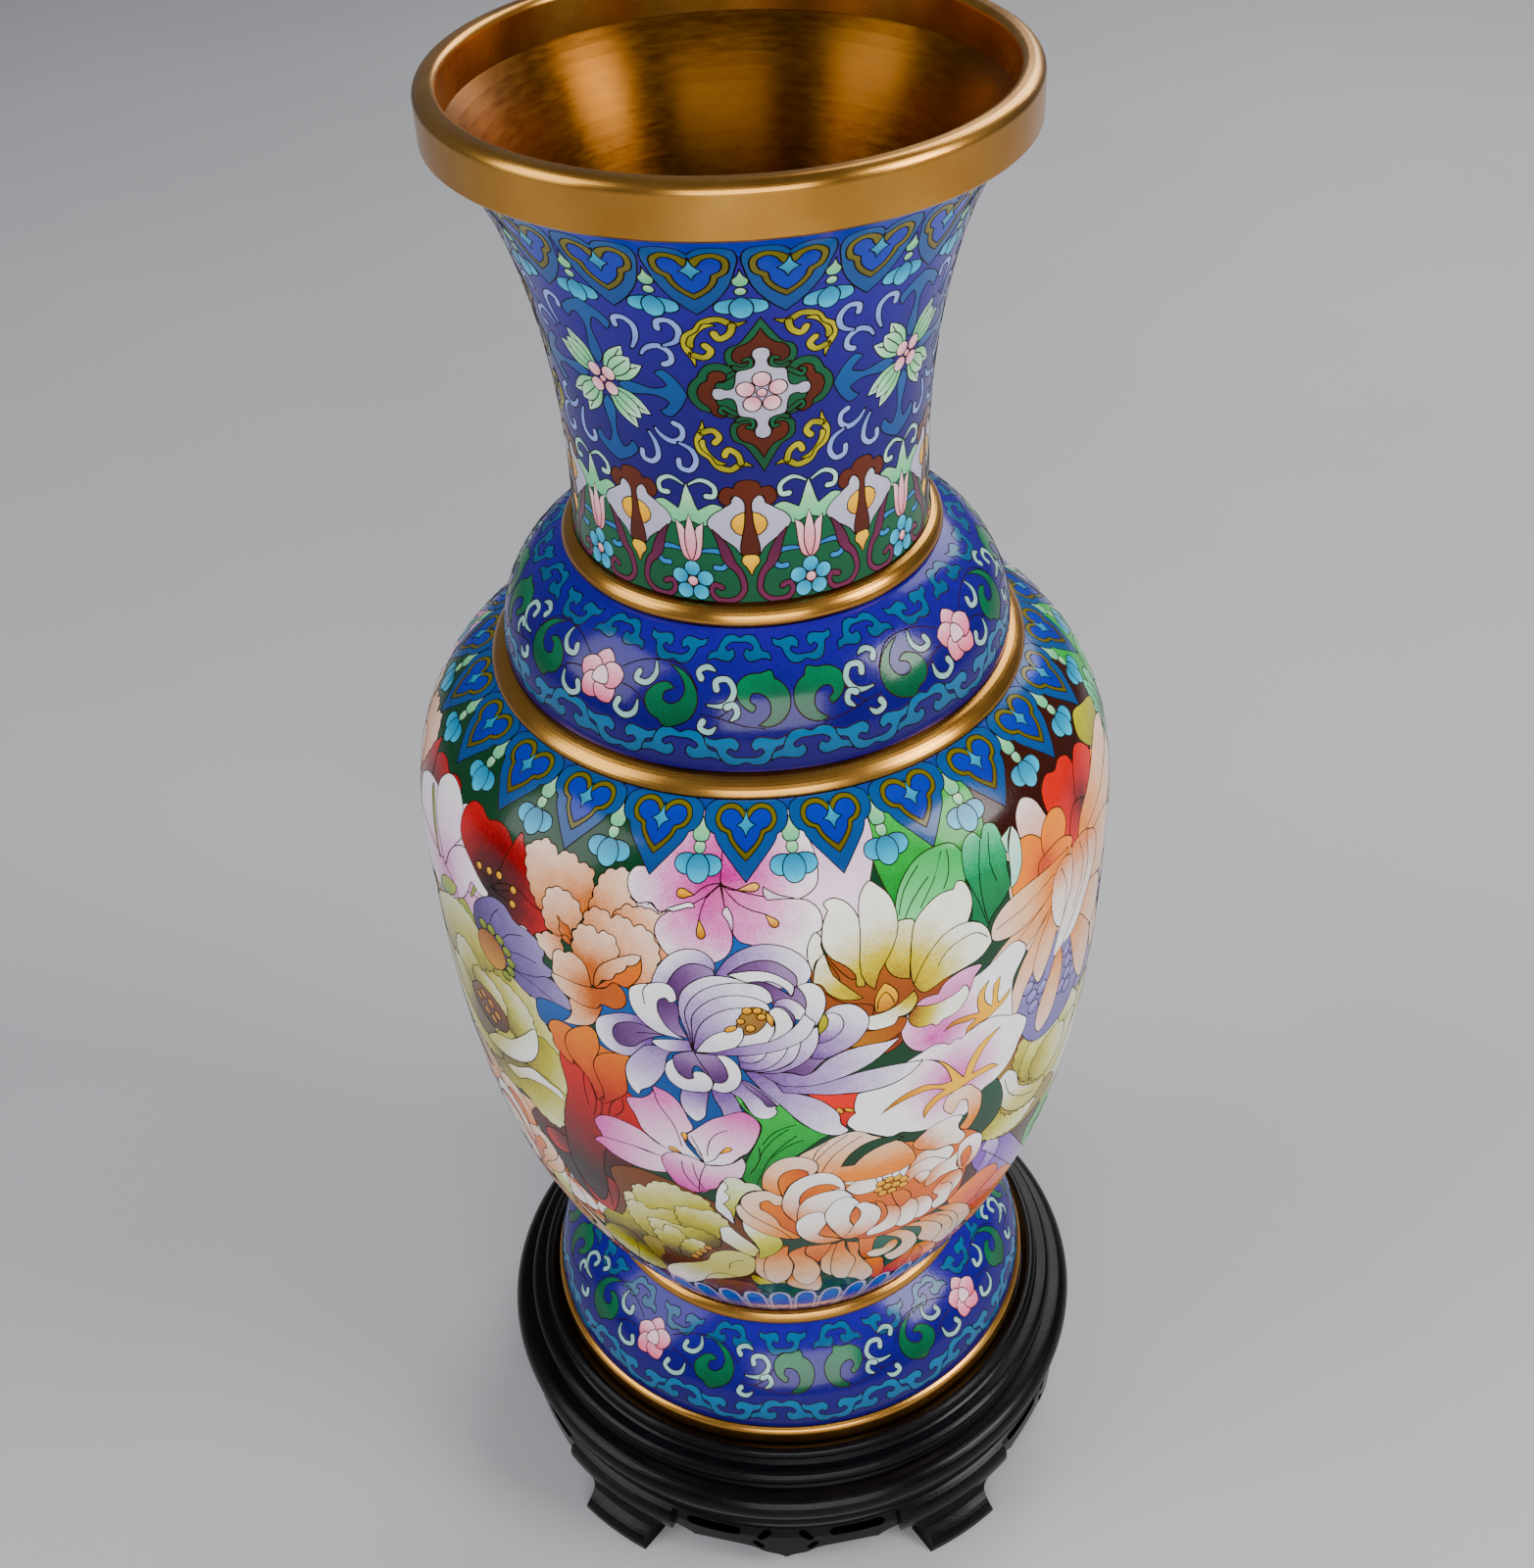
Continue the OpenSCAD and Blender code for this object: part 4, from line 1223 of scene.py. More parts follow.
def lilac_middle(pen):
    """Petals nested one inside another behind the heart."""
    middle = [[(-20.3, 151, 1), (-21.4, 157), (-22.7, 163), (-21.6, 170.4), (-18.9, 173.5),
               (-15.3, 175.4), (-12.1, 175.6), (-8.9, 174.9), (-6, 173.6, 1), (-12, 168), (-18, 160)],
              [(-20.3, 151, 1), (-20.6, 157), (-21.3, 164), (-19.4, 168.5), (-16.2, 171.7),
               (-11.6, 173.5), (-7.1, 173.8), (-3.5, 172.9), (-1.6, 170.8), (-1, 168.3, 1), (-6, 165),
               (-14, 160)],
              [(-20.2, 151, 1), (-20, 157), (-19.6, 163), (-17.1, 166.7), (-13, 169.5), (-8.5, 170.1),
               (-4.8, 169.2), (-2.5, 167.6), (-1.6, 165.4, 1), (-8, 162), (-15, 157)],
              [(-20.1, 151, 1), (-19.4, 156), (-17.8, 160.4), (-14.6, 164), (-10.6, 166), (-7.6, 166.2),
               (-4.6, 164.4, 1), (-8, 161.6), (-14, 156.4)],
              [(-1.2, 166.3, 1), (-.3, 168.4), (2.5, 168.8), (4.7, 167.2), (6.2, 164.6),
               (5.2, 161.6, 1), (2, 163)]]
    petals(pen, middle, LILAC, (-20, 151))
    pen.fill([(-1.8, 165.6, 1), (.6, 166.6), (2.2, 165.4), (3.6, 163), (3.6, 160, 1), (1, 160),
              (-1.4, 163)], PURPLE)


def lilac_heart(pen):
    """Brown heart with yellow stamens, and the petals that close over it."""
    pen.fill([(-12.2, 158.2, 1), (-9.6, 160.8), (-8.6, 164), (-5.6, 166.6), (-2.6, 165.4), (-1.2, 162),
              (-1.4, 158.6), (-6, 157, 1)], shades("8a6a4a", "b8925c"))
    pen.fill([(-2.9, 154.9, 1), (-1, 158.4), (-.9, 162), (-2, 165.2), (-.4, 166.4), (1.6, 165.2),
              (3, 162), (3.3, 160.6), (1.5, 157.4)], WHITE, [(-3, 155), (1, 166)])
    pen.fill([(-9.8, 153.4, 1), (-8, 157.4, 1), (-5.6, 158), (-3.4, 160.4), (-2, 163.4), (-1, 161),
              (-1.2, 158), (-2.9, 154.7, 1), (-6, 154)], WHITE, [(-9, 153), (-2, 162)])
    pen.fill([(-19.6, 150.8, 1), (-17.1, 155.2), (-13.9, 158), (-11.5, 158.8), (-9.4, 160.2, 1),
              (-8.3, 159.9, 1), (-8.2, 156.7), (-9.8, 153.6), (-14.4, 150.9, 1)], WHITE,
             [(-19, 151), (-8.5, 160)])
    pen.fill([(-19.8, 150.4, 1), (-14.8, 151.2), (-9.8, 153.4), (-5.7, 154.3), (-2.5, 155.1),
              (1.5, 157.6), (4.3, 160.8), (5.8, 163.6, 1), (8.4, 160.4, 1), (6.1, 155.4), (2.5, 153.1),
              (-2.5, 151.5), (-7.5, 150.6), (-14, 150.3)], LILAC, [(-14, 151), (7, 161)])
    pen.disc(-11, 159.4, 1.7, STAMEN, ry=0.9, turn=32)
    for x, y, r in ((-6.5, 159.7, 1.2), (-3.8, 163.4, 1.1), (-4.7, 165.4, 1.1), (-7, 165.4, 1.2),
                    (-8.6, 162, 1)):
        pen.disc(x, y, r, STAMEN)
    pen.fill([(-2.6, 165, 1), (-1.2, 163), (-1.4, 160, 1), (-2.6, 162)], STAMEN)


def white_lily(pen):
    """Wide white lily with a pink heart under the lappets."""
    heart = (-12.2, 198.4)
    pen.fill([(8, 180), (12, 184), (20, 186), (24, 196), (27, 204), (26, 216), (4, 216), (6, 196)],
             shades("d8b4d8", "eccfe6", "f0dcea"), [(10, 214), (20, 190)])
    shapes = [[(-12.4, 199, 1), (-11, 196), (-2, 193.6), (5, 194), (8.4, 195.1), (10.8, 197),
               (11.6, 200), (11, 206), (6, 216, 1), (-12, 216)],
              [(-12.4, 199, 1), (-12, 216, 1), (-24, 214), (-29, 206), (-31.6, 200.4), (-33.9, 199.9),
               (-35.5, 197.4), (-34.8, 194), (-32.1, 191.7), (-29.6, 192.3), (-26.6, 190.6),
               (-24.4, 191.3), (-18, 190), (-12, 194)],
              [(-12.4, 198, 1), (-20, 192.6), (-24.8, 190.8), (-27.1, 188.5), (-27.8, 185.8),
               (-26.6, 182.6), (-24.6, 180.1), (-18, 178.5), (-13.7, 179.2), (-11.4, 180.6),
               (-9.8, 183.1), (-9.5, 186.5), (-10.6, 190.2)],
              [(-12, 198, 1), (-10.6, 190.2), (-9.3, 186.6), (-8, 184.9), (-5.7, 184.1), (1.1, 182),
               (7.4, 178), (7.3, 182), (8.8, 185.4), (10.9, 186.7), (11.3, 189.5), (10.2, 192.2),
               (7.9, 194), (5.2, 194.5), (0, 195)]]
    for shape in shapes:
        pen.add([smooth(shape)], LILY, glow(heart, 25))
    pen.fill([(-2, 197.6, 1), (1.1, 195.8), (5.4, 194.7, 1), (-1.2, 194.6, 1), (-2, 195.8)],
             shades("c8bcc8", "dccfdc"))
    pen.fill([(-10.7, 189.9, 1), (-11.8, 192), (-10.8, 193.1), (-9.8, 191.8), (-9.5, 187, 1)],
             shades("d8b8d0", "e4cfe0"))
    pen.fill([(-25.4, 191.4, 1), (-22.6, 192.6), (-19, 193.4), (-18.4, 192.8), (-20.4, 192.2),
              (-23.4, 191, 1)], WHITE)
    pen.vein([(-27, 190.2), (-29.4, 192.2), (-29.8, 191.6)])
    for neck, tip, width in (((-18.6, 195.4), (-21.9, 195.5), 2.3), ((-8.6, 196.9), (-4.2, 197.6), 1.9),
                             ((-17.3, 190), (-16.8, 186.2), 2), ((-1.8, 191.4), (.3, 189), 2)):
        stamen(pen, heart, neck, tip, width)


def peach_peony(pen):
    """Peony with notched peach petals, orange in their depths."""
    back = [[(-65, 193.4), (-65.4, 195.4), (-63, 197.6), (-60.3, 199.2), (-58, 198.8),
             (-55.6, 197.2, 1), (-53, 198.5), (-50.7, 198.3), (-48.9, 197, 1), (-46.6, 197.2),
             (-44.8, 196.3), (-44.2, 193.6), (-43.9, 191.2, 1), (-45.5, 185), (-54, 180)],
            [(-45.7, 184, 1), (-43.9, 191.3, 1), (-43.2, 194), (-42.1, 196.7), (-38.9, 198.3),
             (-36.2, 198.8), (-34.6, 197), (-34.4, 193.5), (-32, 190), (-38, 184)],
            [(-38.6, 186.8, 1), (-36.6, 189.5), (-34.4, 190.8), (-32.5, 190.4, 1), (-30.3, 191),
             (-27.1, 190.1), (-25.4, 190.6), (-26, 184), (-24.2, 179.6), (-28, 176), (-34, 180)],
            [(-55.4, 189), (-52.5, 189.6), (-49.8, 189), (-47.5, 187.6), (-46.4, 185.4), (-46.6, 182.6),
             (-48.5, 180.4), (-49, 176, 1), (-56, 178)],
            [(-40.7, 172, 1), (-45.9, 182, 1), (-45.5, 185.8), (-43.9, 187.6), (-41.6, 188.1),
             (-39.6, 187.6), (-38.5, 186.7, 1), (-36.6, 187.7), (-34.4, 187.2), (-33, 186, 1),
             (-30.7, 186.3), (-28.5, 184.9), (-26.9, 182.2), (-26.4, 179.5), (-27.5, 174.9),
             (-29.4, 171), (-34, 168)],
            [(-53, 182.4, 1), (-50.7, 181), (-48.9, 179.5), (-49.1, 177.4), (-51.2, 177.9),
             (-52.8, 176.5, 1), (-54.8, 177), (-57.5, 175.8), (-59.4, 174), (-58.9, 172.2),
             (-57.3, 170.4), (-53, 168)],
            [(-43.9, 165.4, 1), (-48.9, 174), (-48.7, 177), (-48.2, 180.4), (-46.6, 182.4),
             (-43.9, 183), (-42.5, 182.6), (-41.7, 181.6, 1), (-40.3, 182.6), (-38.5, 182.4),
             (-36.9, 180.4), (-36.5, 177.6), (-37, 174), (-41, 170)]]
    petals(pen, back, PEACH, (-44, 172), lobed=True)
    pen.fill([(-31.1, 178.4, 1), (-31.1, 173.6), (-33, 170.1), (-35.3, 168.2), (-37.5, 168.6),
              (-40.7, 166.3), (-43.8, 165, 1), (-38, 171)], shades("d8692c", "de8850"),
             [(-40, 166), (-32, 176)])
    front = [[(-43.6, 165.2, 1), (-43.3, 168.5), (-41.6, 172.6), (-38.5, 175.4), (-34.8, 177.6),
              (-32.1, 178.5), (-30.9, 178.1, 1), (-32.1, 175.9), (-34.4, 174.7, 1), (-35.3, 173.1),
              (-37.5, 171.5, 1), (-38.5, 169.7), (-41.2, 168.5, 1), (-42.1, 166.7)],
             [(-49.8, 164, 1), (-55, 164.9), (-54.8, 168.1), (-53.9, 172.2), (-52.3, 173.3),
              (-51, 172.8, 1), (-49.4, 173.8), (-47.1, 173.1), (-45.3, 171.3), (-44.6, 168.5),
              (-44.2, 164.6, 1)],
             [(-50.4, 149.6, 1), (-53.9, 149.2), (-52.5, 150.8), (-51, 154), (-51.2, 158), (-47, 160),
              (-42.1, 159.6), (-43, 156.6), (-45.4, 152.2)],
             [(-55.7, 164.4, 1), (-52.5, 164.7), (-48.5, 164.4), (-44.4, 164.9), (-41.2, 165.8),
              (-37.8, 168.8), (-35.7, 166.7), (-35.4, 163.4), (-36.6, 161.2), (-39, 160),
              (-41.2, 160.4), (-42.4, 160.2, 1), (-43.4, 158.4), (-46.2, 157.7), (-49.8, 158.3),
              (-53, 159.5), (-55, 162)]]
    petals(pen, front, PEACH, (-44, 163))


def orange_lily(pen):
    """Orange petals that turn red and dark towards the bottom."""
    pen.fill([(-56, 137), (-50.7, 133.5), (-44.8, 127), (-40.3, 130), (-38, 131), (-36.6, 124),
              (-34, 116), (-40, 114), (-46, 108), (-50, 98), (-52, 82), (-56, 74), (-62, 84),
              (-62, 100), (-60, 112), (-57, 122)], RED, [(-58, 88), (-42, 130)])
    for line in ([(-50.4, 133), (-51, 126), (-50.6, 120)],
                 [(-48.8, 130), (-47.9, 124), (-49.6, 117)],
                 [(-46.6, 127), (-46.6, 121), (-48.8, 115)],
                 [(-40.4, 128.4), (-43.6, 124.4), (-44.8, 119.6)],
                 [(-40.2, 128), (-40.2, 124), (-43, 120.2)]):
        pen.vein(line)
    rows = [[(-59.4, 144.5), (-58, 147.2), (-54.8, 148.5), (-51.6, 147.6), (-53, 144.5), (-53.4, 139),
             (-53.4, 134), (-56.6, 136.2), (-58.4, 138.5), (-58.5, 141.7)],
            [(-44.6, 145.8), (-41.6, 144.7), (-38, 145), (-43, 140.6), (-45.6, 141)],
            [(-46.2, 151), (-48.9, 149.9), (-52.1, 147.2), (-54.1, 144), (-54.6, 140.4), (-53.5, 136.7),
             (-50.7, 133.5), (-48.5, 129.5), (-47.6, 124, 1), (-45.2, 127), (-44.9, 131), (-46, 136),
             (-45.6, 141), (-44.6, 143.6), (-44.3, 147.2), (-44.9, 150)],
            [(-36.2, 144.9, 1), (-39.8, 144.5), (-43.5, 143.1), (-45.7, 140.8), (-46.9, 137.2),
             (-46.2, 132.6), (-45.3, 129.5), (-46, 123, 1), (-42.5, 126.3), (-40.3, 128.5),
             (-38.5, 130.8), (-38, 134.9), (-38, 139), (-37.3, 142.2)]]
    for row in rows:
        pen.fill(row, ORANGE, [(-46, 124), (-46, 148)])


def green_leaf(pen, outline, veins, inks=None):
    """A leaf whose inks run up from its lowest point, with its veins."""
    low = min(outline, key=lambda p: p[1])
    high = max(outline, key=lambda p: p[1])
    pen.fill(outline, inks or LEAF, [low[:2], high[:2]])
    for line in veins:
        pen.vein(line)


MAGNOLIA = shades("8a4410", "d0be3c", "f6f6ec")
TAN = shades("8c4020", "a4602c")
MORNING = shades("d06cb0", "ecbcdc", "f7f5f6")
WHITE_PEACH = shades("e49a70", "f2e4dc", "f4f2f2")
SOFT_PEACH = shades("e8955a", "efc4a4", "f0d8c8")
AMBER = shades("c85c14", "e08434")


def magnolia(pen):
    """Cream magnolia with a brown heart and a yellow cone."""
    pen.fill([(11, 180), (18, 172), (20, 176), (30, 172), (34, 172), (42, 166), (36, 158), (29, 156),
              (27, 148), (20, 149), (16, 150.4), (20, 156), (22, 162), (14, 166), (9, 172.8),
              (14, 172)], TAN, [(22, 150), (22, 172)])
    pen.fill([(16.4, 150, 1), (19.8, 154.6, 1), (25, 154.4), (28, 156.4), (29.8, 155.8),
              (28.8, 151.3, 1), (25.6, 149.6), (21, 149.8)], shades("b8802a", "a45c2c"),
             [(16, 150), (29, 154)])
    rows = [[(8.4, 175.4, 1), (7.2, 180.4), (7.9, 184), (9.5, 186), (10.6, 184.9), (10.5, 182.6),
             (10.9, 180.2), (9, 178.4)],
            [(8.2, 172.6, 1), (8.5, 175.4), (9.4, 178.6), (11.1, 180.4, 1), (11.8, 177.6), (12.9, 174),
             (16.1, 169.9), (19.6, 165.6, 1), (14.7, 166.3), (11.5, 169), (9.7, 172)],
            [(12.8, 190.8, 1), (12, 192.6), (13.8, 193.5), (16.1, 192.9), (18.4, 190.8), (19.7, 188.1),
             (20, 179.9), (20.4, 175.4), (20, 169.2, 1), (18.4, 169.5), (17.9, 173.1), (15.6, 176.3),
             (12.5, 179), (10.9, 182.2), (10.9, 185.8), (12, 189.5)],
            [(28.4, 184.4), (32.9, 183.6), (32.2, 180.4), (31.3, 175.4), (30.9, 167.8, 1), (27, 170),
             (25, 175), (27.5, 179)],
            [(19.8, 184.5), (20, 189.9), (21.1, 193.5), (23.8, 195.7), (25.4, 194.4), (27.9, 191.3),
             (28.8, 188.1), (28.8, 183.1), (27.5, 179), (25.2, 174.9), (23.6, 172.2), (22.4, 167.4, 1),
             (20.4, 169.8)],
            [(33, 183), (36.1, 185.8), (40.2, 187.6), (44.2, 187.4, 1), (45.4, 188.8), (47, 188.3),
             (48.1, 186.3), (48.6, 182.6), (47.9, 179.9), (46.5, 177.4), (40, 173), (31.6, 166, 1),
             (31.1, 170), (31.4, 175.4), (32, 179.9)],
            [(31.8, 165.6, 1), (33.8, 170.1), (36.5, 174), (40.2, 177), (43.8, 177.8), (47.5, 177.2),
             (50.6, 175.1), (52.2, 172.6), (53.3, 168.2, 1), (50.2, 165.4), (44.7, 164.4),
             (40.2, 163.8), (34.3, 162)]]
    for row in rows:
        pen.add([smooth(row)], MAGNOLIA, glow((25, 164), 24))
    pen.vein([(38.1, 168.5), (40.2, 171.7), (44.7, 173.5), (48.4, 173.5), (52, 170.4)])
    pen.fill([(32.4, 158.6), (33.8, 159.7), (38.2, 159.6, 1), (39.7, 162.2), (42.5, 163.6),
              (47.5, 163.8), (50.4, 162.6), (48.4, 159.9), (47.2, 156, 1), (40, 155)],
             shades("d890c0", "ecb6d6"))
    pen.fill([(30.5, 155.4), (32.6, 158.3, 1), (35.6, 157), (40.2, 156.7), (43.8, 157.6), (45.6, 158.6),
              (46.8, 156.7), (46.1, 153.5), (43.4, 150.8), (39.7, 150.3, 1), (38, 149.2),
              (36.6, 150.4, 1), (33.8, 150.6), (32, 151.7)], MAGNOLIA, [(31, 157), (41, 153)])
    pen.fill([(20.4, 159.4, 1), (24.7, 159.5), (28.4, 161), (31.9, 163.7, 1), (32.8, 160.4),
              (30.6, 156.8), (28, 156.6, 1), (27, 154.6), (24.7, 154.2), (20.8, 154.9)], MAGNOLIA,
             [(34, 166), (26, 156)])
    pen.fill([(24.7, 168.8, 1), (27, 166.4), (28, 163), (27.2, 161), (24.5, 159.7), (22.8, 159.9),
              (22.2, 163), (23.2, 166.8)], STAMEN, [(25, 160), (25, 169)])
    pen.vein([(22.9, 161), (23.6, 164.6), (24.8, 165.8), (26.2, 164), (27, 161.6)])


def morning_glories(pen):
    """Two white flowers flushed with pink, each with a golden star."""
    pen.add([smooth([(30.2, 156), (28.8, 152.5), (29, 149), (30.2, 146), (32, 143.5), (34.7, 141.8, 1),
                     (45, 137), (61.8, 137, 1), (61, 144), (61, 151), (65, 159), (62, 163), (50, 160),
                     (40, 158)])], MORNING, glow((38, 146), 17))
    pen.fill([(40, 146, 1), (42.5, 147.9), (46.5, 147.7), (50.2, 146.6, 1), (49.5, 149.9), (49.8, 153),
              (52.9, 155.9, 1), (51.7, 152.6), (51.9, 149.6), (54, 146.4, 1), (54.3, 149.4),
              (54.6, 153.1), (56.6, 155, 1), (56.1, 151.3), (55.9, 148.1), (56.4, 146, 1),
              (58.4, 147.2), (60.2, 148.4, 1), (59.3, 146.2), (56.5, 144.4), (52.9, 142.9),
              (49.3, 142.7), (46.4, 141.4, 1), (47, 143.6), (49.2, 145.1), (46.4, 145.7), (43, 146.6)],
             STAMEN, [(44, 142), (54, 149)])
    outline = [(17.9, 133.4, 1), (17.2, 130.4), (17.1, 127.6), (17.4, 126.4, 1), (15.9, 124.9),
               (15.3, 123), (16.6, 120.6), (17.9, 119), (20.6, 117.6), (24.3, 114.9), (27, 113.6),
               (29.3, 114.2), (32, 112.8), (38, 111), (50, 111), (53.4, 116.5), (57.5, 117.2),
               (61.1, 119.2), (63.8, 122.6), (65.2, 126.3), (67, 129.5), (67.5, 132.2), (65.6, 134.9),
               (63.4, 137.2), (60.2, 138.8), (57.5, 140.8), (52.9, 142.6), (49.3, 142.2), (46.5, 141.5),
               (45.2, 140.5, 1), (43.4, 141.3), (41.8, 140.5, 1), (39.7, 142), (37.5, 142.6),
               (34.3, 141.7), (29.7, 140, 1), (34.6, 138.9, 1), (32.4, 136.5), (28.7, 134.4),
               (24.6, 133.5), (20, 133.5)]
    pen.add([smooth(outline)], MORNING, glow((44, 127), 17))
    pen.fill([(23.6, 123.5, 1), (30.2, 128.6), (35.6, 129.2), (40.2, 126.9), (43, 126.4, 1),
              (41.5, 131.3), (38.4, 136.3), (34.8, 139, 1), (40.4, 134.9), (43.9, 129.9),
              (46.6, 125.6, 1), (47.8, 129.9), (51, 134.6), (57.8, 136.9, 1), (53.8, 134.2),
              (51.2, 130.6), (49.2, 125.4, 1), (51.5, 125.2), (54.7, 124.9), (58, 122.2, 1),
              (53.8, 122.8), (49, 122.9), (44.7, 121.9), (42, 121.8), (39.6, 121.2), (36.6, 118.4),
              (35.5, 116.4, 1), (35.6, 120.4), (38, 123.2), (41, 124.4, 1), (38, 126.4), (34.6, 127),
              (30, 126.4)], STAMEN, [(28, 120), (45, 125)])


def right_leaves(pen):
    """Leaves between the magnolia and the lappets."""
    pen.fill([(25, 204), (27, 216), (56, 216), (58, 200), (50, 186), (44, 182), (30, 182), (28, 190)],
             LEAF, [(40, 184), (40, 212)])
    pen.fill([(28.8, 183.8, 1), (29, 189), (31.4, 193.6), (36, 197.4), (42, 198.6), (47.4, 197.4),
              (49, 194), (47.6, 188), (44, 184), (33, 182.4, 1)], shades("8ed49c", "58b872"),
             [(34, 184), (40, 199)])
    for line in ([(30.6, 184.4), (33.4, 188.6), (38.4, 192.6)],
                 [(35, 186), (39.6, 191.4), (43.4, 197)],
                 [(29.4, 186), (31.6, 191.4), (36.6, 196)],
                 [(41.6, 188.4), (44, 192), (45, 197)]):
        pen.vein(line)
    pen.fill([(47.6, 177.4, 1), (48.4, 181), (48.6, 184.9), (47.9, 188.5), (48.1, 192.2), (49.3, 195.8),
              (51.1, 197.4), (53.6, 197.8), (55.2, 195.4, 1), (57.9, 198.1), (60.2, 197.2),
              (61.1, 193.5), (61.1, 189.9), (60.2, 185.8), (60.2, 181), (57.5, 178.1), (53.4, 175.4),
              (52, 172.4, 1), (49.3, 176.3)], shades("0a7a48", "10905a", "7ccca4"),
             [(54, 178), (55, 197)])
    for line in ([(52.2, 174), (50.4, 181), (48, 188.4)],
                 [(52.6, 174), (51.4, 183), (52.4, 190), (54.8, 195.4)],
                 [(56.4, 184), (55.6, 189), (57.8, 196)]):
        pen.vein(line)
    pen.fill([(60.2, 179.9, 1), (61, 184.5), (61.5, 188.1), (62.9, 191.3), (65.2, 194.2, 1),
              (66.1, 192.2), (65.9, 187.6), (64.3, 183.1), (61.5, 180.1)], shades("a8e0cc", "dff2e8"))
    pen.fill([(61, 189.6, 1), (60.6, 193, 1), (65, 194.4, 1), (62.6, 191.6), (61.6, 188.6, 1)],
             shades("a8e0cc", "c8ecd8"))


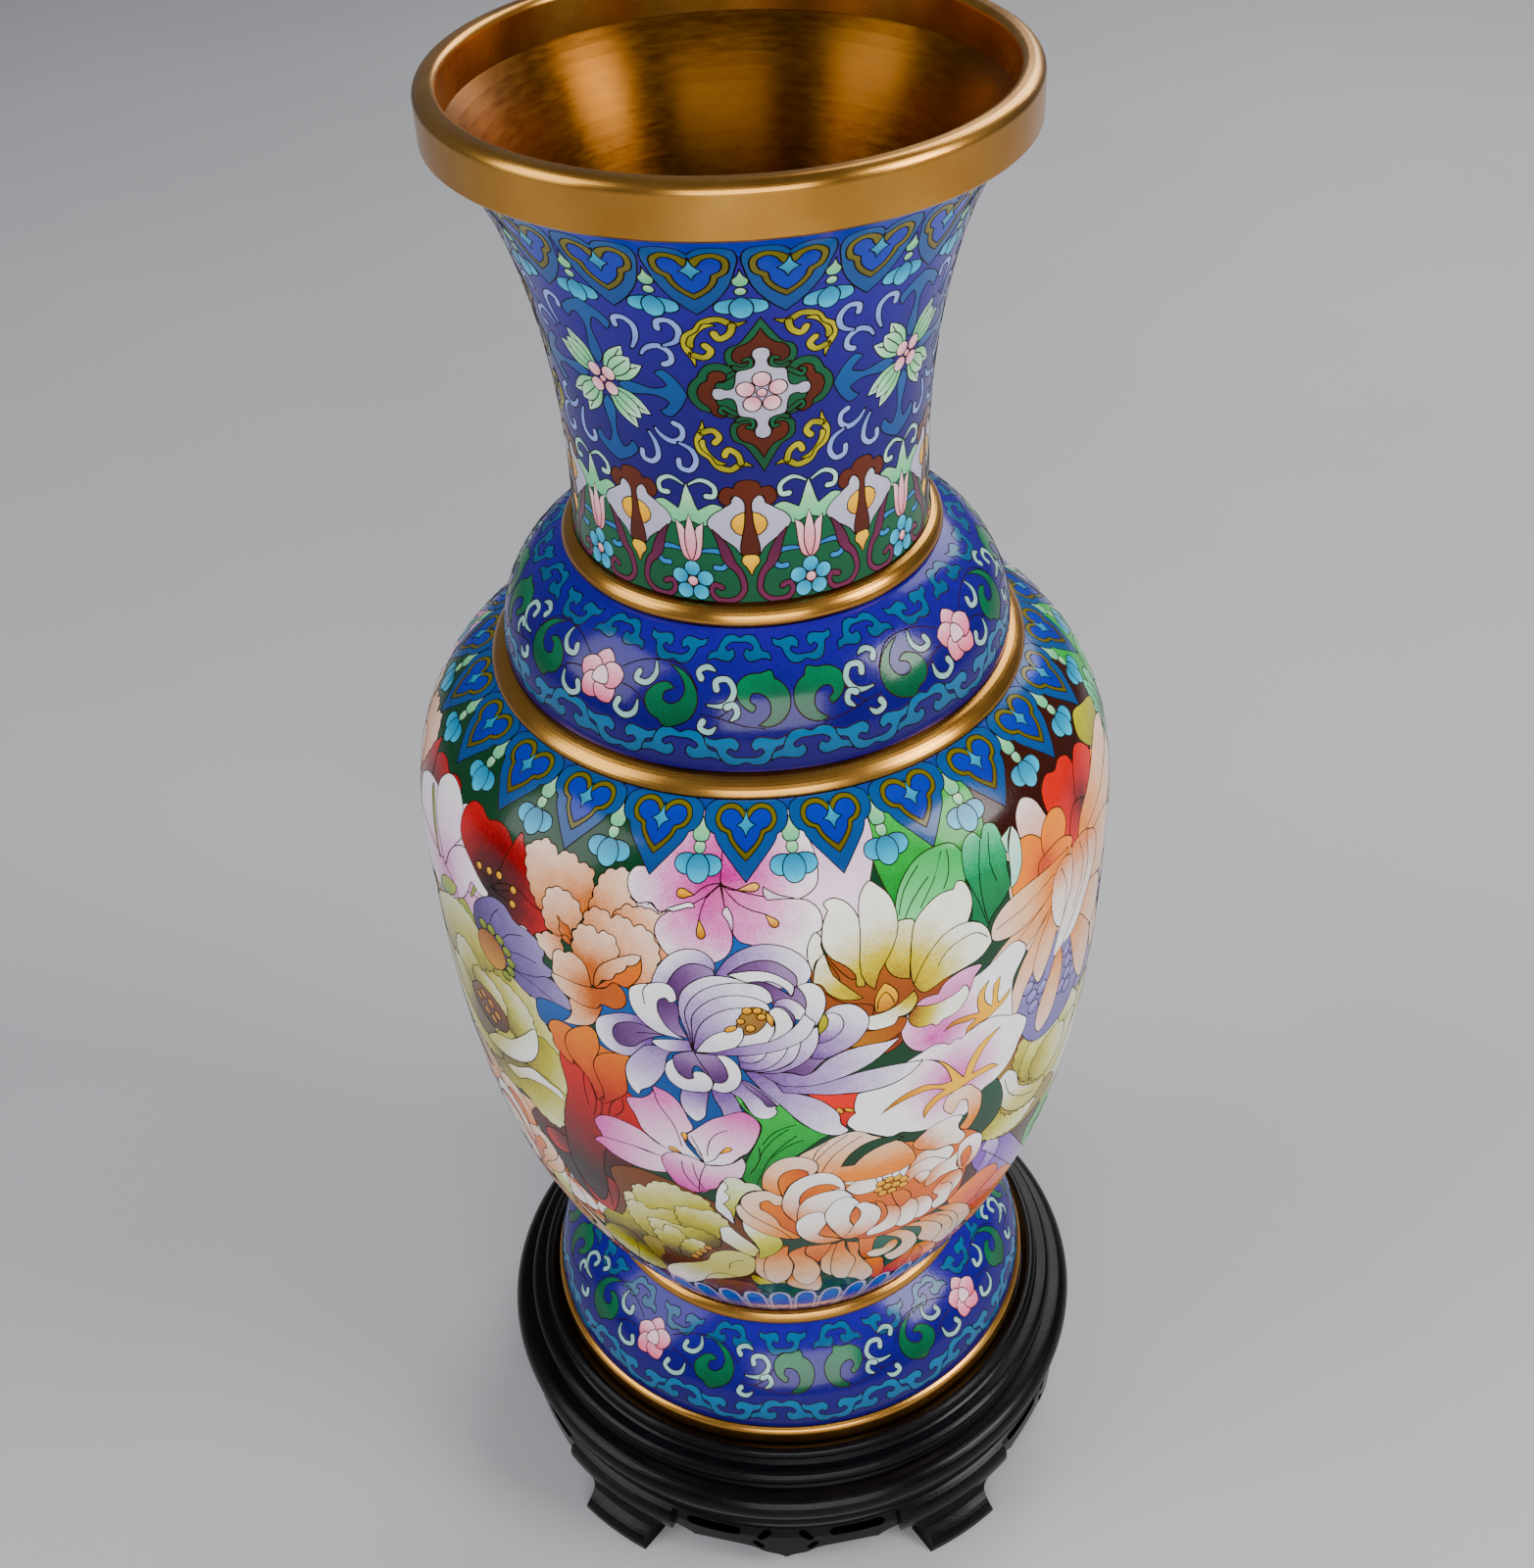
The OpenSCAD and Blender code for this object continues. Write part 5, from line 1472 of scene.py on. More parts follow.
def peach_chrysanthemum(pen):
    """Peach and white flower low on the front, its petals curled like hooks."""
    pen.fill([(-12.5, 84, 1), (-12.3, 78.5), (-10.7, 74), (-8.9, 68), (-9.2, 62), (-4, 66), (-2, 72),
              (-3, 75), (-6.2, 76.7)], shades("f0f0ec", "d8d880", "b4b040"), [(-12, 80), (-4, 68)])
    pen.fill([(-19.2, 88.5, 1), (-18.9, 93.1), (-18, 98.1), (-16.4, 102), (-14.4, 104), (-12.1, 103.5),
              (-10.7, 101.8, 1), (-8, 101.4), (-6.2, 98.6, 1), (-9.4, 98.1), (-11.6, 95.8), (-13, 92.2),
              (-13.9, 88.5), (-14.8, 81.6, 1), (-17.1, 84.9)], shades("a8a030", "d0d494", "dfe6cc"),
             [(-15, 86), (-12, 102)])
    pen.fill([(-19.2, 88.5), (-18.9, 93.1), (-18, 98.1), (-16.2, 101.9, 1), (-15.2, 99),
              (-16.3, 97.2, 1), (-15.1, 94.9), (-17, 91.4, 1), (-15.3, 87.6), (-14.8, 81.4, 1),
              (-17.1, 84.9)], WHITE)
    pen.fill([(3, 112), (8, 116), (13.4, 119), (17.6, 119.4), (22, 116), (30, 110), (34, 100), (20, 98),
              (8, 104), (7.4, 108)], SOFT_PEACH, [(14, 100), (14, 119)])
    for line in ([(7.2, 109.6), (10.6, 114.4), (15.4, 118.6)],
                 [(9, 105), (12, 111.4), (19, 117)],
                 [(6.8, 110.8), (8, 114.4), (10.6, 117.2)]):
        pen.vein(line)
    pen.fill([(13.8, 106, 1), (16, 110.4), (20, 113.6), (26, 114), (30, 112), (24, 111), (19.6, 108.6),
              (17.2, 105.6, 1)], BELLY_GROUND)
    pen.fill([(-13.5, 91), (-13.7, 88), (-13, 85), (-12.1, 83.1), (-9.4, 79.5), (-6.2, 76.7),
              (-3, 74.9), (.8, 73.6, 1), (-2, 80), (-6, 86), (-11, 92)], SOFT_PEACH,
             [(0, 74), (-12, 90)])
    pen.fill([(-1.4, 92), (-1.2, 95), (-3, 97.4), (-6.2, 98.4), (-9.4, 97.6), (-11.6, 95.4),
              (-12.4, 92.2), (-11.2, 88.5), (-8.5, 84.9), (-4.8, 81.3), (-1.6, 77.6), (.6, 73.8, 1),
              (3, 74, 1), (1.8, 79), (-1, 88)], SOFT_PEACH, [(0, 75), (-6, 97)])
    pen.fill([(-7.1, 89.6, 1), (-7, 93), (-5.3, 93.9), (-3.6, 91.7), (-1.5, 91.4, 1), (-1.2, 88.1),
              (.2, 84.9), (1.9, 82.4), (1.8, 78.5), (3, 74.4, 1), (-.6, 79), (-2.1, 80.8), (-3, 84),
              (-4.8, 87.2)], AMBER, [(1, 76), (-6, 92)])
    hooks = [([(-6.4, 99.5, 1), (-6.2, 104), (-4.8, 108.1), (-2.1, 111.3), (1.5, 112.6), (5.2, 111.7),
               (7.7, 109), (7.9, 106.3), (6.4, 104, 1), (0, 98), (-2, 96, 1)],
              [(5.4, 104, 1), (5.2, 105.8), (2.9, 107.2), (-.3, 106.3), (-2.1, 103.1), (-2.2, 99.9),
               (-1.2, 95.4, 1), (0, 99.4), (2.2, 102.4)], SOFT_PEACH, [(-4, 96), (2, 112)]),
             ([(2, 82.4, 1), (-.4, 86.3), (-1.6, 90), (-1.4, 94), (-.5, 97.4), (1, 100.8), (3.4, 103.1),
               (6.5, 104.5), (9.7, 104.5), (12.5, 102.6), (14.3, 99.5), (15, 95.4, 1), (8, 92)],
              [(2.9, 91, 1), (3.4, 95.4), (5.2, 98.1), (8.4, 99.5), (11.1, 99), (13.6, 96.5, 1),
               (10.6, 96), (7, 94.9), (4.3, 92.2)], WHITE_PEACH, [(0, 85), (9, 103)]),
             ([(2.2, 83, 1), (2.3, 86.7), (3, 90.8), (5.2, 94), (7.9, 95.4), (11.1, 96), (14.3, 95.4),
               (16.6, 92.6), (18.4, 88, 1), (10, 84)], None, WHITE_PEACH, [(4, 84), (12, 96)]),
             ([(2, 82.8, 1), (5.2, 86.3), (8.4, 86.7), (9.7, 85.2), (10.2, 80.8), (8.8, 77.6),
               (7.9, 74.9, 1), (9.7, 73.1), (12.5, 71.7), (14.9, 70, 1), (8.8, 69.5), (5.2, 71.7),
               (2.9, 74.9), (1.8, 79)],
              [(10.3, 80.2, 1), (8.8, 77.6), (7.9, 74.9, 1), (10, 73.2), (14.5, 71, 1), (11.8, 76)],
              WHITE_PEACH, [(10, 70), (5, 86)]),
             ([(14.7, 70.4, 1), (12.5, 74.9), (10.4, 79.9), (9.6, 84.5), (10.6, 88.1), (12.9, 91.3),
               (15.6, 92), (17.9, 89.9), (18.9, 87.6), (17.6, 85.8), (16.6, 82.2), (16.6, 79.5),
               (17.7, 76.3), (16.6, 73.1)], None, WHITE_PEACH, [(15, 71), (14, 88)]),
             ([(14.7, 70.4, 1), (16.6, 73.1), (17.8, 76.5), (18.2, 82), (18.4, 87.2), (20.2, 87.6),
               (22.5, 85.8), (24.7, 83.1), (25.6, 79), (24.3, 74), (21.5, 70.8), (17.9, 69.4)],
              [(18.1, 86.2, 1), (19.5, 83.1), (19.3, 79.9), (17.9, 76.8, 1), (16.7, 79.6),
               (16.6, 82.6)], WHITE_PEACH, [(18, 70), (22, 86)])]
    for outer, inner, inks, run in hooks:
        pen.fill(outer, inks, run)
        if inner:
            pen.fill(inner, AMBER, [inner[0][:2], inner[len(inner) // 2][:2]])


LILY_PINK = shades("f7f4f6", "f0c8e2", "d878b6")
LILY_ROSE = shades("f0d4e6", "e49cca", "d06cac")
OLIVE = shades("5c4a04", "bab24c", "dedcb4")
OLIVE_WHITE = shades("cfc884", "e6e4d4", "f0eeee")
POPPY = shades("16060a", "6c0a12", "c41c24")
VIOLET = shades("4a3a6a", "7c6c9e", "a296bc")
MAROON = shades("180408", "2c070d", "8a0a14")
HEART_BROWN = shades("4a2410", "7c4818")
EARTH = shades("3a1c16", "4e2a20")
TEAL = shades("1c4a40", "286a58")
PALE_BALLS = shades("8a80b8", "b4aad4")


def pink_lily(pen):
    """Pink lily on the left of the middle, with white inner sides."""
    node = (-20.5, 109)
    rows = [[(-31.2, 136.3, 1), (-31.6, 134), (-34.4, 130.8), (-38.7, 129.2), (-37.1, 123.1),
             (-35.5, 117.6), (-32.5, 114.5), (-29.4, 112), (-20.5, 109, 1), (-24.4, 119.9),
             (-22.3, 122.2), (-23.2, 126.3), (-24.8, 131.3), (-27.1, 134.5)],
            [(-24.4, 119.4, 1), (-20.3, 124), (-17.1, 127.2), (-14.4, 128.6), (-9.4, 130.4),
             (-7.1, 128.5), (-5.7, 125.4), (-6.2, 121.7), (-8, 116.7), (-9.4, 114.3), (-10.4, 113.6),
             (-14, 109.6), (-20.3, 108.4, 1)],
            [(-49.8, 114.9), (-48, 117.6), (-44.4, 119.2), (-40.7, 119), (-36.2, 117.4), (-32.5, 114),
             (-20.5, 109, 1), (-31.6, 108.5), (-35.3, 109.5), (-39.8, 109.8), (-44.4, 109.5),
             (-48, 108.3), (-48.5, 110)],
            [(-51.4, 105.8, 1), (-49.8, 108.1), (-44.4, 109.5), (-39.8, 109.8), (-31.6, 108.5),
             (-20.5, 109, 1), (-31.2, 102), (-34.4, 101), (-38.5, 100.8), (-42.5, 101.5),
             (-46.2, 102.9), (-49.8, 105.4)]]
    petals(pen, rows, LILY_PINK, node)
    petals(pen,
           [[(-20.5, 109, 1), (-29.8, 110.8), (-31.6, 108.5), (-31.6, 104.9), (-30.3, 100.4),
             (-28, 96.7), (-24.8, 95.4), (-22.1, 95.6), (-20, 97.2), (-19.6, 103)],
            [(-20.3, 108.2, 1), (-17.5, 108.3), (-13.9, 109.5), (-10.7, 112.6, 1), (-10, 109.9),
             (-10.7, 105.8), (-11.6, 103.8), (-14.4, 104), (-16.4, 102), (-18.5, 98.1), (-20.7, 97.2),
             (-23, 95.4, 1), (-22.2, 102)]], LILY_ROSE, node)
    for line in ([(-31.2, 134.9), (-30.3, 129.5), (-27.5, 124), (-26.2, 118.5), (-25.7, 114.5)],
                 [(-13.7, 123.1), (-16.2, 121.7), (-18.5, 118.1), (-19.4, 112)],
                 [(-23, 119.5), (-20.7, 112)],
                 [(-26.4, 108.5), (-26.2, 103.5), (-24.4, 99), (-22.1, 96.3)],
                 [(-23.6, 108), (-23, 102.2), (-21.6, 97.2)]):
        pen.vein(line)
    for neck, tip in (((-16.4, 113.4), (-14, 115.6)), ((-24.4, 116.8), (-24.7, 119.6)),
                      ((-26, 111.6), (-28.4, 113))):
        stamen(pen, node, neck, tip, 1.6)


def olive_peony(pen):
    """Yellow-green peony at the lower left, its heart brown, with a big white petal in front."""
    pen.fill([(-48, 96), (-40, 100), (-30, 98), (-20, 92), (-14, 86), (-10, 70), (-10, 40), (-24, 32),
              (-44, 30), (-62, 38), (-60, 60), (-52, 72), (-48, 84)], HEART_BROWN)
    rows = [[(-45.3, 86.3), (-46.6, 83.1), (-46.4, 80.4), (-46.6, 77.2), (-48, 74.5), (-50.7, 70.4),
             (-54.4, 70.4), (-56.6, 68.5), (-59, 61), (-56, 52), (-46, 52), (-40, 62), (-36, 72),
             (-38, 82)],
            [(-43, 88.5), (-42.5, 90.4), (-40.7, 92.2), (-38.2, 92.4), (-37.1, 94.5), (-34.8, 96.3),
             (-31.6, 96.8), (-28.9, 96.3), (-27.5, 94.7), (-25.3, 94.5), (-22.5, 93.1), (-20.7, 90.8),
             (-20.3, 88.5), (-17, 82), (-24, 74), (-36, 76), (-42, 82)],
            [(-45.7, 81.3), (-43.9, 82.6), (-40.7, 82.6), (-38.9, 80.8), (-36.2, 82.6), (-33, 83.6),
             (-30.4, 82), (-29, 76), (-32, 66), (-40, 62), (-46, 70), (-47, 77)],
            [(-30.7, 77.6), (-31.2, 83.1), (-30.7, 85.8), (-29.4, 86.7), (-27.1, 87.2), (-24.4, 86.7),
             (-20.3, 87.2), (-18, 84.9), (-16.2, 80.4), (-18.6, 78), (-20, 72), (-26, 70)],
            [(-40.7, 73.1), (-40.3, 75.8), (-38, 76.5), (-35.3, 77), (-32.5, 76.3), (-29.8, 75.8),
             (-27.1, 76.5), (-24.4, 75.8), (-21.6, 74), (-19.4, 70), (-22, 66), (-30, 62), (-38, 64)],
            [(-39.8, 65.8), (-40.3, 68.5), (-38.5, 70.4), (-36.6, 70.6), (-36.2, 73.5), (-34.4, 74.7),
             (-31.6, 73.5), (-30, 70), (-29, 62), (-34, 56), (-38.6, 60)],
            [(-33.4, 60), (-31.6, 66.3), (-29.8, 69), (-27.1, 69.9), (-24.4, 68), (-26, 62), (-29, 57),
             (-32.6, 55.4)],
            [(-47, 57), (-44, 49), (-42.6, 44), (-44, 38), (-48, 36.6), (-54, 37.6), (-58.6, 40),
             (-61.6, 44), (-63.4, 49), (-60, 57), (-55, 61), (-50, 62)]]
    petals(pen, rows, OLIVE, (-32, 60), lobed=True)
    pen.vein([(-54, 40), (-51, 48), (-49.6, 56)])
    pen.fill([(-45, 62), (-41.4, 64), (-38.2, 62), (-37.4, 58), (-38.2, 51), (-41, 47), (-44, 49),
              (-45.6, 54)], shades("7c6c04", "a08c14"))
    pen.fill([(-38.6, 60), (-36, 57), (-33, 56), (-29, 57), (-26, 60), (-22, 66), (-20, 64), (-24, 56),
              (-32, 51), (-37, 49), (-41, 45.6), (-42, 50), (-39.6, 54)], HEART_BROWN)
    for x, y in ((-23.9, 65.8), (-25.6, 63.4), (-27.4, 61), (-29, 58.4)):
        pen.disc(x, y, 1.3, shades("c07818", "e0a030"))
    petals(pen,
           [[(-18.7, 79), (-16.2, 79.9), (-14.8, 77.6), (-12.5, 74), (-9.8, 69.9), (-8.9, 66.3),
             (-10.3, 63.5), (-13.9, 65.4), (-17.1, 69.5), (-18.9, 71.7), (-19.1, 74.9)],
            [(-23, 62.9), (-21.2, 64.5), (-18.5, 65.9), (-15.3, 66.1), (-12.5, 64.3), (-10.5, 61.8),
             (-10.7, 57), (-11.6, 52.5), (-13.9, 49.3), (-18.5, 46.5), (-23, 43.8), (-28, 40.5),
             (-33, 35.4), (-38, 31), (-42.6, 31.4), (-43.6, 36), (-41.4, 43.6), (-36, 49.6),
             (-30, 53.6), (-25.6, 57)]], OLIVE_WHITE, (-27, 52))
    pen.vein([(-13.9, 60.2), (-17.1, 58.8), (-18.5, 56.5), (-18.9, 53.4)])
    pen.vein([(-17, 47.6), (-22, 49), (-27, 45), (-29, 40)])
    pen.fill([(-31, 37), (-27, 42), (-22, 44), (-16, 44), (-12, 42), (-10, 36), (-14, 31), (-24, 30)],
             shades("6a3414", "8a4c1c"))
    petals(pen,
           [[(-12.4, 50), (-8, 46.5), (-5.7, 42.9), (-8, 40.6), (-10.7, 42), (-12.6, 46)],
            [(-10.4, 39), (-9, 41.4), (-5.7, 42), (-3, 45.2), (-.7, 42), (.2, 38.4), (-3.5, 35.6),
             (-7.1, 36)]], shades("a89820", "d0c860", "d8d4a0"), (-12, 46))


def lower_petals(pen):
    """Long petals that hang from the peach chrysanthemum, and the small flowers between them."""
    pen.fill([(-12, 40), (-8, 33.5), (4, 33), (16, 34), (34, 34), (46, 44), (44, 66), (24, 70),
              (10, 60), (4, 46)], TEAL)
    pen.fill([(29, 37), (33, 43), (36, 45), (40.6, 50, 1), (44, 49), (48, 46), (51, 41), (52.4, 36),
              (48, 32.4), (36, 32), (30, 33)], shades("cc2018", "e06a10", "e08c10"),
             [(33, 36), (46, 44)])
    pen.vein([(38, 33), (40, 41), (40.6, 49)])
    pen.vein([(46, 33), (46, 40), (42, 48)])
    pen.fill([(23, 53), (26, 52.2), (28.4, 51), (30, 46), (31, 41), (31.4, 36), (30, 32.4), (27, 36),
              (25, 44)], shades("d83c10", "ee8a10"), [(30, 34), (25, 52)])
    roots = (8, 74)
    rows = [[(-.3, 49.3), (-1.6, 42.9), (.6, 39.3), (4.3, 36.1), (8.8, 33.6), (9.7, 36.5), (9.5, 43.8),
             (8.8, 48.4), (6, 54), (1, 54)],
            [(-.3, 70.2, 1), (-9.4, 66.1), (-10.3, 61.5), (-10.7, 57), (-11, 52.9), (-9.8, 49.3),
             (-7.5, 45.6), (-4.8, 42.9), (-3, 45.2), (-2, 56)],
            [(-.3, 70.2, 1), (-4.8, 66.1), (-7.1, 62.5), (-8.2, 57), (-8.2, 50.2), (-7.3, 46.1),
             (-4.8, 43.4), (-3, 44.7), (-.7, 48.4), (.2, 52.9), (.6, 58.4), (-.7, 64)],
            [(4.7, 69.3, 1), (-.7, 64.7), (.2, 61.1), (.9, 57), (.2, 50.6), (.9, 46.5), (2.5, 42.9),
             (4.7, 40.6), (7, 42.5), (8.4, 46.5), (9, 49.7), (8.4, 55.2), (6.5, 60.2), (4.3, 63.8)],
            [(16.1, 68, 1), (17.5, 60.6), (19.5, 55.2), (19.3, 50.2), (17.9, 42.5), (21.5, 38.4),
             (24.9, 34), (27, 37), (25.4, 46.5), (22.5, 52.9), (20.2, 58.8), (19.7, 66.1)],
            [(10.6, 68, 1), (8.8, 58.4), (8.8, 54.7), (9.5, 50.6), (12.5, 46.5), (13, 52.5), (13, 57.5),
             (13.4, 64.3), (14, 68.4, 1)],
            [(13.4, 68.4, 1), (12.2, 60.2), (12, 53.8), (12.9, 46.5), (15.2, 42.5), (17.5, 41.5),
             (18.8, 46.5), (19.5, 51.5), (19.5, 55.6), (17.9, 59.7), (16.1, 64.3), (15.6, 69.3, 1)]]
    petals(pen, rows, shades("dc7834", "ecc09c", "efdccf"), roots)
    pen.fill([(4.7, 68.8, 1), (12, 68.6, 1), (10.2, 62.9), (8.1, 57.5, 1), (6.1, 61.1), (4.3, 64.3)], AMBER)
    pen.fill([(19.7, 69, 1), (20.2, 62), (20.6, 59.3), (22.5, 54.3), (24.6, 53), (24.6, 60.6),
              (25.4, 66), (28, 68, 1)], AMBER)
    right = [[(44, 69.4, 1), (50, 67), (55, 62.6), (59.4, 57), (62, 51.6), (64, 46), (61, 41.6),
              (59, 41), (56, 52), (50, 62)],
             [(38, 68.4, 1), (45, 66.6), (50, 63), (54, 57.6), (57.4, 50), (58.6, 45), (59, 40.6),
              (55, 38), (51.4, 40.6), (48.6, 44.4), (49.8, 49), (50, 53), (46, 59), (41, 63)],
             [(31, 68.6, 1), (38, 66.6), (44, 62), (48, 57), (50, 52), (49.6, 48), (48, 45.4),
              (45, 48.6), (41.4, 52.6), (40.4, 54.6), (40.8, 58.6), (40, 62), (36.4, 65)],
             [(25.5, 68.6, 1), (31, 67), (36, 63), (39, 58), (40.4, 53), (39.2, 48.6), (36.4, 46),
              (33, 45.6), (30.6, 48.4), (29.6, 52), (32, 52.6), (34.4, 55.4), (34, 58.6), (31, 63),
              (28, 65.6)],
             [(24, 54.6), (23, 57.4), (24.6, 58.4), (28, 58), (29.6, 60.4), (31.4, 61), (33, 58.4),
              (32.6, 55.4), (30, 53), (27, 52.6)]]
    petals(pen, right, shades("e08a4c", "efcdb2", "f2e6dd"), (30, 76))
    pen.vein([(45, 65), (50, 60), (54, 53), (56, 45)])


def right_petals(pen):
    """Arched white petals on the right of the peach chrysanthemum, round its yellow stamens."""
    pen.fill([(10, 100), (16, 108), (24, 112), (34, 108), (48, 104), (54, 98), (52, 84), (50, 72),
              (40, 68), (20, 68), (10, 80)], AMBER)
    rows = [[(32.9, 107.2), (35.2, 109.9), (37.9, 111.7), (42, 112.2), (45.6, 111.5), (47.5, 109.9),
             (46.5, 107.2), (46.8, 105.4), (48.8, 102.2), (49.3, 100.4), (47.5, 98.5), (44.7, 99.9),
             (40.2, 100.8), (37, 102.6), (33.8, 104.9)],
            [(33.4, 99.9), (36.1, 102.6), (40.2, 100.6), (44.7, 99.5), (46, 96), (44.3, 93.5),
             (42, 95.8), (39.3, 98.1), (35.6, 98.5), (32.5, 97.2)],
            [(30.6, 95), (32.2, 96.7), (35.6, 98.5), (39.3, 98.1), (42, 95.8), (44.3, 93.5),
             (40.2, 91.3), (36.5, 93.1), (34.3, 92.2), (32.5, 90.4)]]
    petals(pen, rows, WHITE_PEACH, (30, 92))
    arches = [[(13, 104, 1), (15.6, 108.4), (19, 110.8), (22, 111.7), (24.7, 111.7), (27.9, 110.4),
               (31.1, 107.2), (32.9, 103.5), (33.1, 100.4), (32, 96.7), (31, 93, 1)],
              [(13.4, 102, 1), (16, 106), (19, 108.4), (22, 109.2), (24.7, 108.3), (27.9, 105.4),
               (30, 102.2), (30, 98.1), (29.3, 94, 1)],
              [(14, 100, 1), (16.4, 103.4), (19, 105.4), (22, 105.8), (25.2, 104), (27, 100.8),
               (27.7, 96, 1)],
              [(14.4, 98, 1), (17.4, 101.4), (22, 102.6), (24.3, 99.5), (25, 94, 1)],
              [(15, 95.6, 1), (18, 98.4), (22, 99), (23.6, 95.8), (24, 92, 1), (18, 92)]]
    petals(pen, arches, shades("f6f4f4", "f4ece6", "f0dccc"), (22, 92))
    for x, y in ((24.6, 94.2), (27, 95), (29.4, 94.6), (31.2, 93), (24.2, 91.6), (26.6, 92.2),
                 (29, 91.8), (31.2, 90.4), (25.4, 89.4), (28, 89.4)):
        pen.disc(x, y, 1.35, STAMEN)
    low = [[(48, 88), (49.3, 85.8), (45.6, 86.7), (42.9, 86.7), (40.2, 84.9), (38.4, 84.9),
            (37.9, 87.6), (39.3, 91.3), (42.5, 93.5), (45.2, 93.5), (47.5, 94.9)],
           [(34.3, 92.2), (36.5, 93.3), (39, 92.2), (37.9, 88.5), (37, 87.6), (35.2, 89.9)],
           [(41.1, 80.4), (42, 82.6), (44.3, 84.9), (46.5, 86), (49.7, 84.9), (51.1, 81.7),
            (50.6, 77.6), (48.4, 74.9), (46.5, 70.4), (42.9, 70.4), (42, 74), (43.4, 76.3)],
           [(35.6, 81.3), (38.8, 80.4), (41.1, 77.6), (42, 74), (41.5, 70.4), (39.3, 69), (36.4, 70),
            (36, 76)],
           [(31.1, 83.1), (35.2, 81.3), (37, 77.2), (37.2, 73.1), (36.1, 69), (32.5, 68.1),
            (30.4, 70.6), (31.2, 76.7)],
           [(22, 86.7), (26.5, 82.6), (29.7, 81.3), (31.5, 77.6), (31.5, 73.1), (30.2, 69.5),
            (27, 68.5), (22, 69), (24, 76)]]
    petals(pen, low, WHITE_PEACH, (31, 87))
    pen.vein([(43.4, 82.6), (46.5, 81.3), (48.1, 78.1), (47.9, 74.9)])
    for row in ([(27.9, 88.5, 1), (31.1, 88.1), (33.4, 85.8), (34.3, 82.6, 1), (31.1, 79.5),
                 (29.7, 82.2)],
                [(23.4, 86.7, 1), (25.2, 85.4), (27, 81.3), (27.5, 77.6), (26.1, 74.5), (23.4, 72.6, 1),
                 (25, 78)]):
        pen.fill(row, AMBER)
    pen.fill([(47.5, 94.9), (47.9, 97.6), (50.2, 99), (53.4, 98.5), (55.6, 95.8), (56.1, 92.2),
              (55.6, 88.5), (53.8, 85.4), (50.2, 84.5), (48.8, 86.7), (47.9, 91.3)], WHITE_PEACH,
             [(48, 86), (54, 98)])
    pen.fill([(49.3, 93.1), (51.1, 94.5), (52.5, 92.2), (52.5, 88.5), (50.6, 85.4), (49.4, 89)], AMBER)
    pen.fill([(41.1, 118.5), (42, 120.8), (44.7, 122), (48.4, 121.7), (51.1, 118.5), (52.9, 115.8),
              (53.4, 112), (53.4, 109.9), (52, 105.8), (49.7, 103.1), (47, 105.4), (48.8, 108.1),
              (48.8, 113.5), (47.9, 116.3), (46.8, 117), (45.2, 115.4), (43.8, 113.1), (42.5, 114.5),
              (41.3, 116.3)], SOFT_PEACH, [(49, 104), (44, 121)])


def poppy(pen):
    """Red flower at the upper left, almost black in the middle."""
    heart = (-74, 179.5)
    for row in ([(-90, 187), (-90.6, 193), (-88, 196.4), (-84.6, 196.8), (-80.4, 195.4), (-77, 196.6),
                 (-73, 196.2), (-70, 194), (-66, 186), (-72, 177), (-84, 182.4)],
                [(-70, 193.6), (-68, 197.6), (-65.7, 194.9), (-62.5, 194.2), (-61.2, 192.9),
                 (-58.9, 193.1), (-56.6, 192.2), (-55.3, 190.4), (-55, 188.5), (-54.6, 185.8),
                 (-55.7, 183.1), (-57.5, 181.5), (-68, 178), (-72, 184)],
                [(-57.5, 181.5), (-54.4, 181.7), (-53.5, 180.4), (-54.4, 178.1), (-57.1, 176.3),
                 (-59.4, 174), (-61.2, 173.5), (-62.5, 174.7), (-66, 174), (-74, 172), (-76, 178),
                 (-68, 184)]):
        pen.add([smooth(row)], POPPY, glow(heart, 19))
    for tip in ((-80, 183), (-76, 183.7), (-72.3, 184.4), (-67, 183), (-67, 179.1)):
        pen.vein([heart, ((heart[0] + tip[0]) / 2 + 0.4, (heart[1] + tip[1]) / 2), tip])
        pen.disc(tip[0], tip[1], 1.1, STAMEN)


def violet_flower(pen):
    """Violet flower below the poppy, with a beaded button."""
    heart = (-77, 159)
    rows = [[(-83, 165), (-82, 170.6), (-78, 175), (-74.4, 177.3), (-70, 177.4), (-66, 174.4),
             (-62.1, 174), (-58.9, 172.6), (-57.1, 170.4), (-57.8, 166.7), (-55, 164.9), (-56.2, 162.6),
             (-58, 161.7), (-60.7, 160.1), (-77, 157, 1)],
            [(-60.7, 160.1), (-57.5, 162), (-54.8, 161.5), (-53, 159.5), (-51.2, 157.2), (-50.7, 155.1),
             (-52.1, 153.1), (-53.2, 150.4), (-55.7, 149.2), (-58.9, 149.9), (-60.7, 151), (-63.5, 152),
             (-65.7, 152.2), (-69, 154), (-77, 157, 1)]]
    petals(pen, rows, VIOLET, heart)
    for line in ([(-73, 164), (-69, 169), (-64, 171.4)],
                 [(-72, 162), (-66, 164.6), (-60, 165)],
                 [(-70, 157.6), (-63, 157), (-56, 154.6)],
                 [(-76, 166), (-75, 171), (-72, 175)]):
        pen.vein(line)
    for k in range(7):
        a = math.radians(-50 + 26 * k)
        pen.disc(heart[0] + 7.4 * math.cos(a), heart[1] + 7.4 * math.sin(a), 1.6,
                 shades("6c7820", "a0ac38"))
    pen.disc(heart[0], heart[1], 5.6, shades("c89a60", "9a6030"), ry=6)


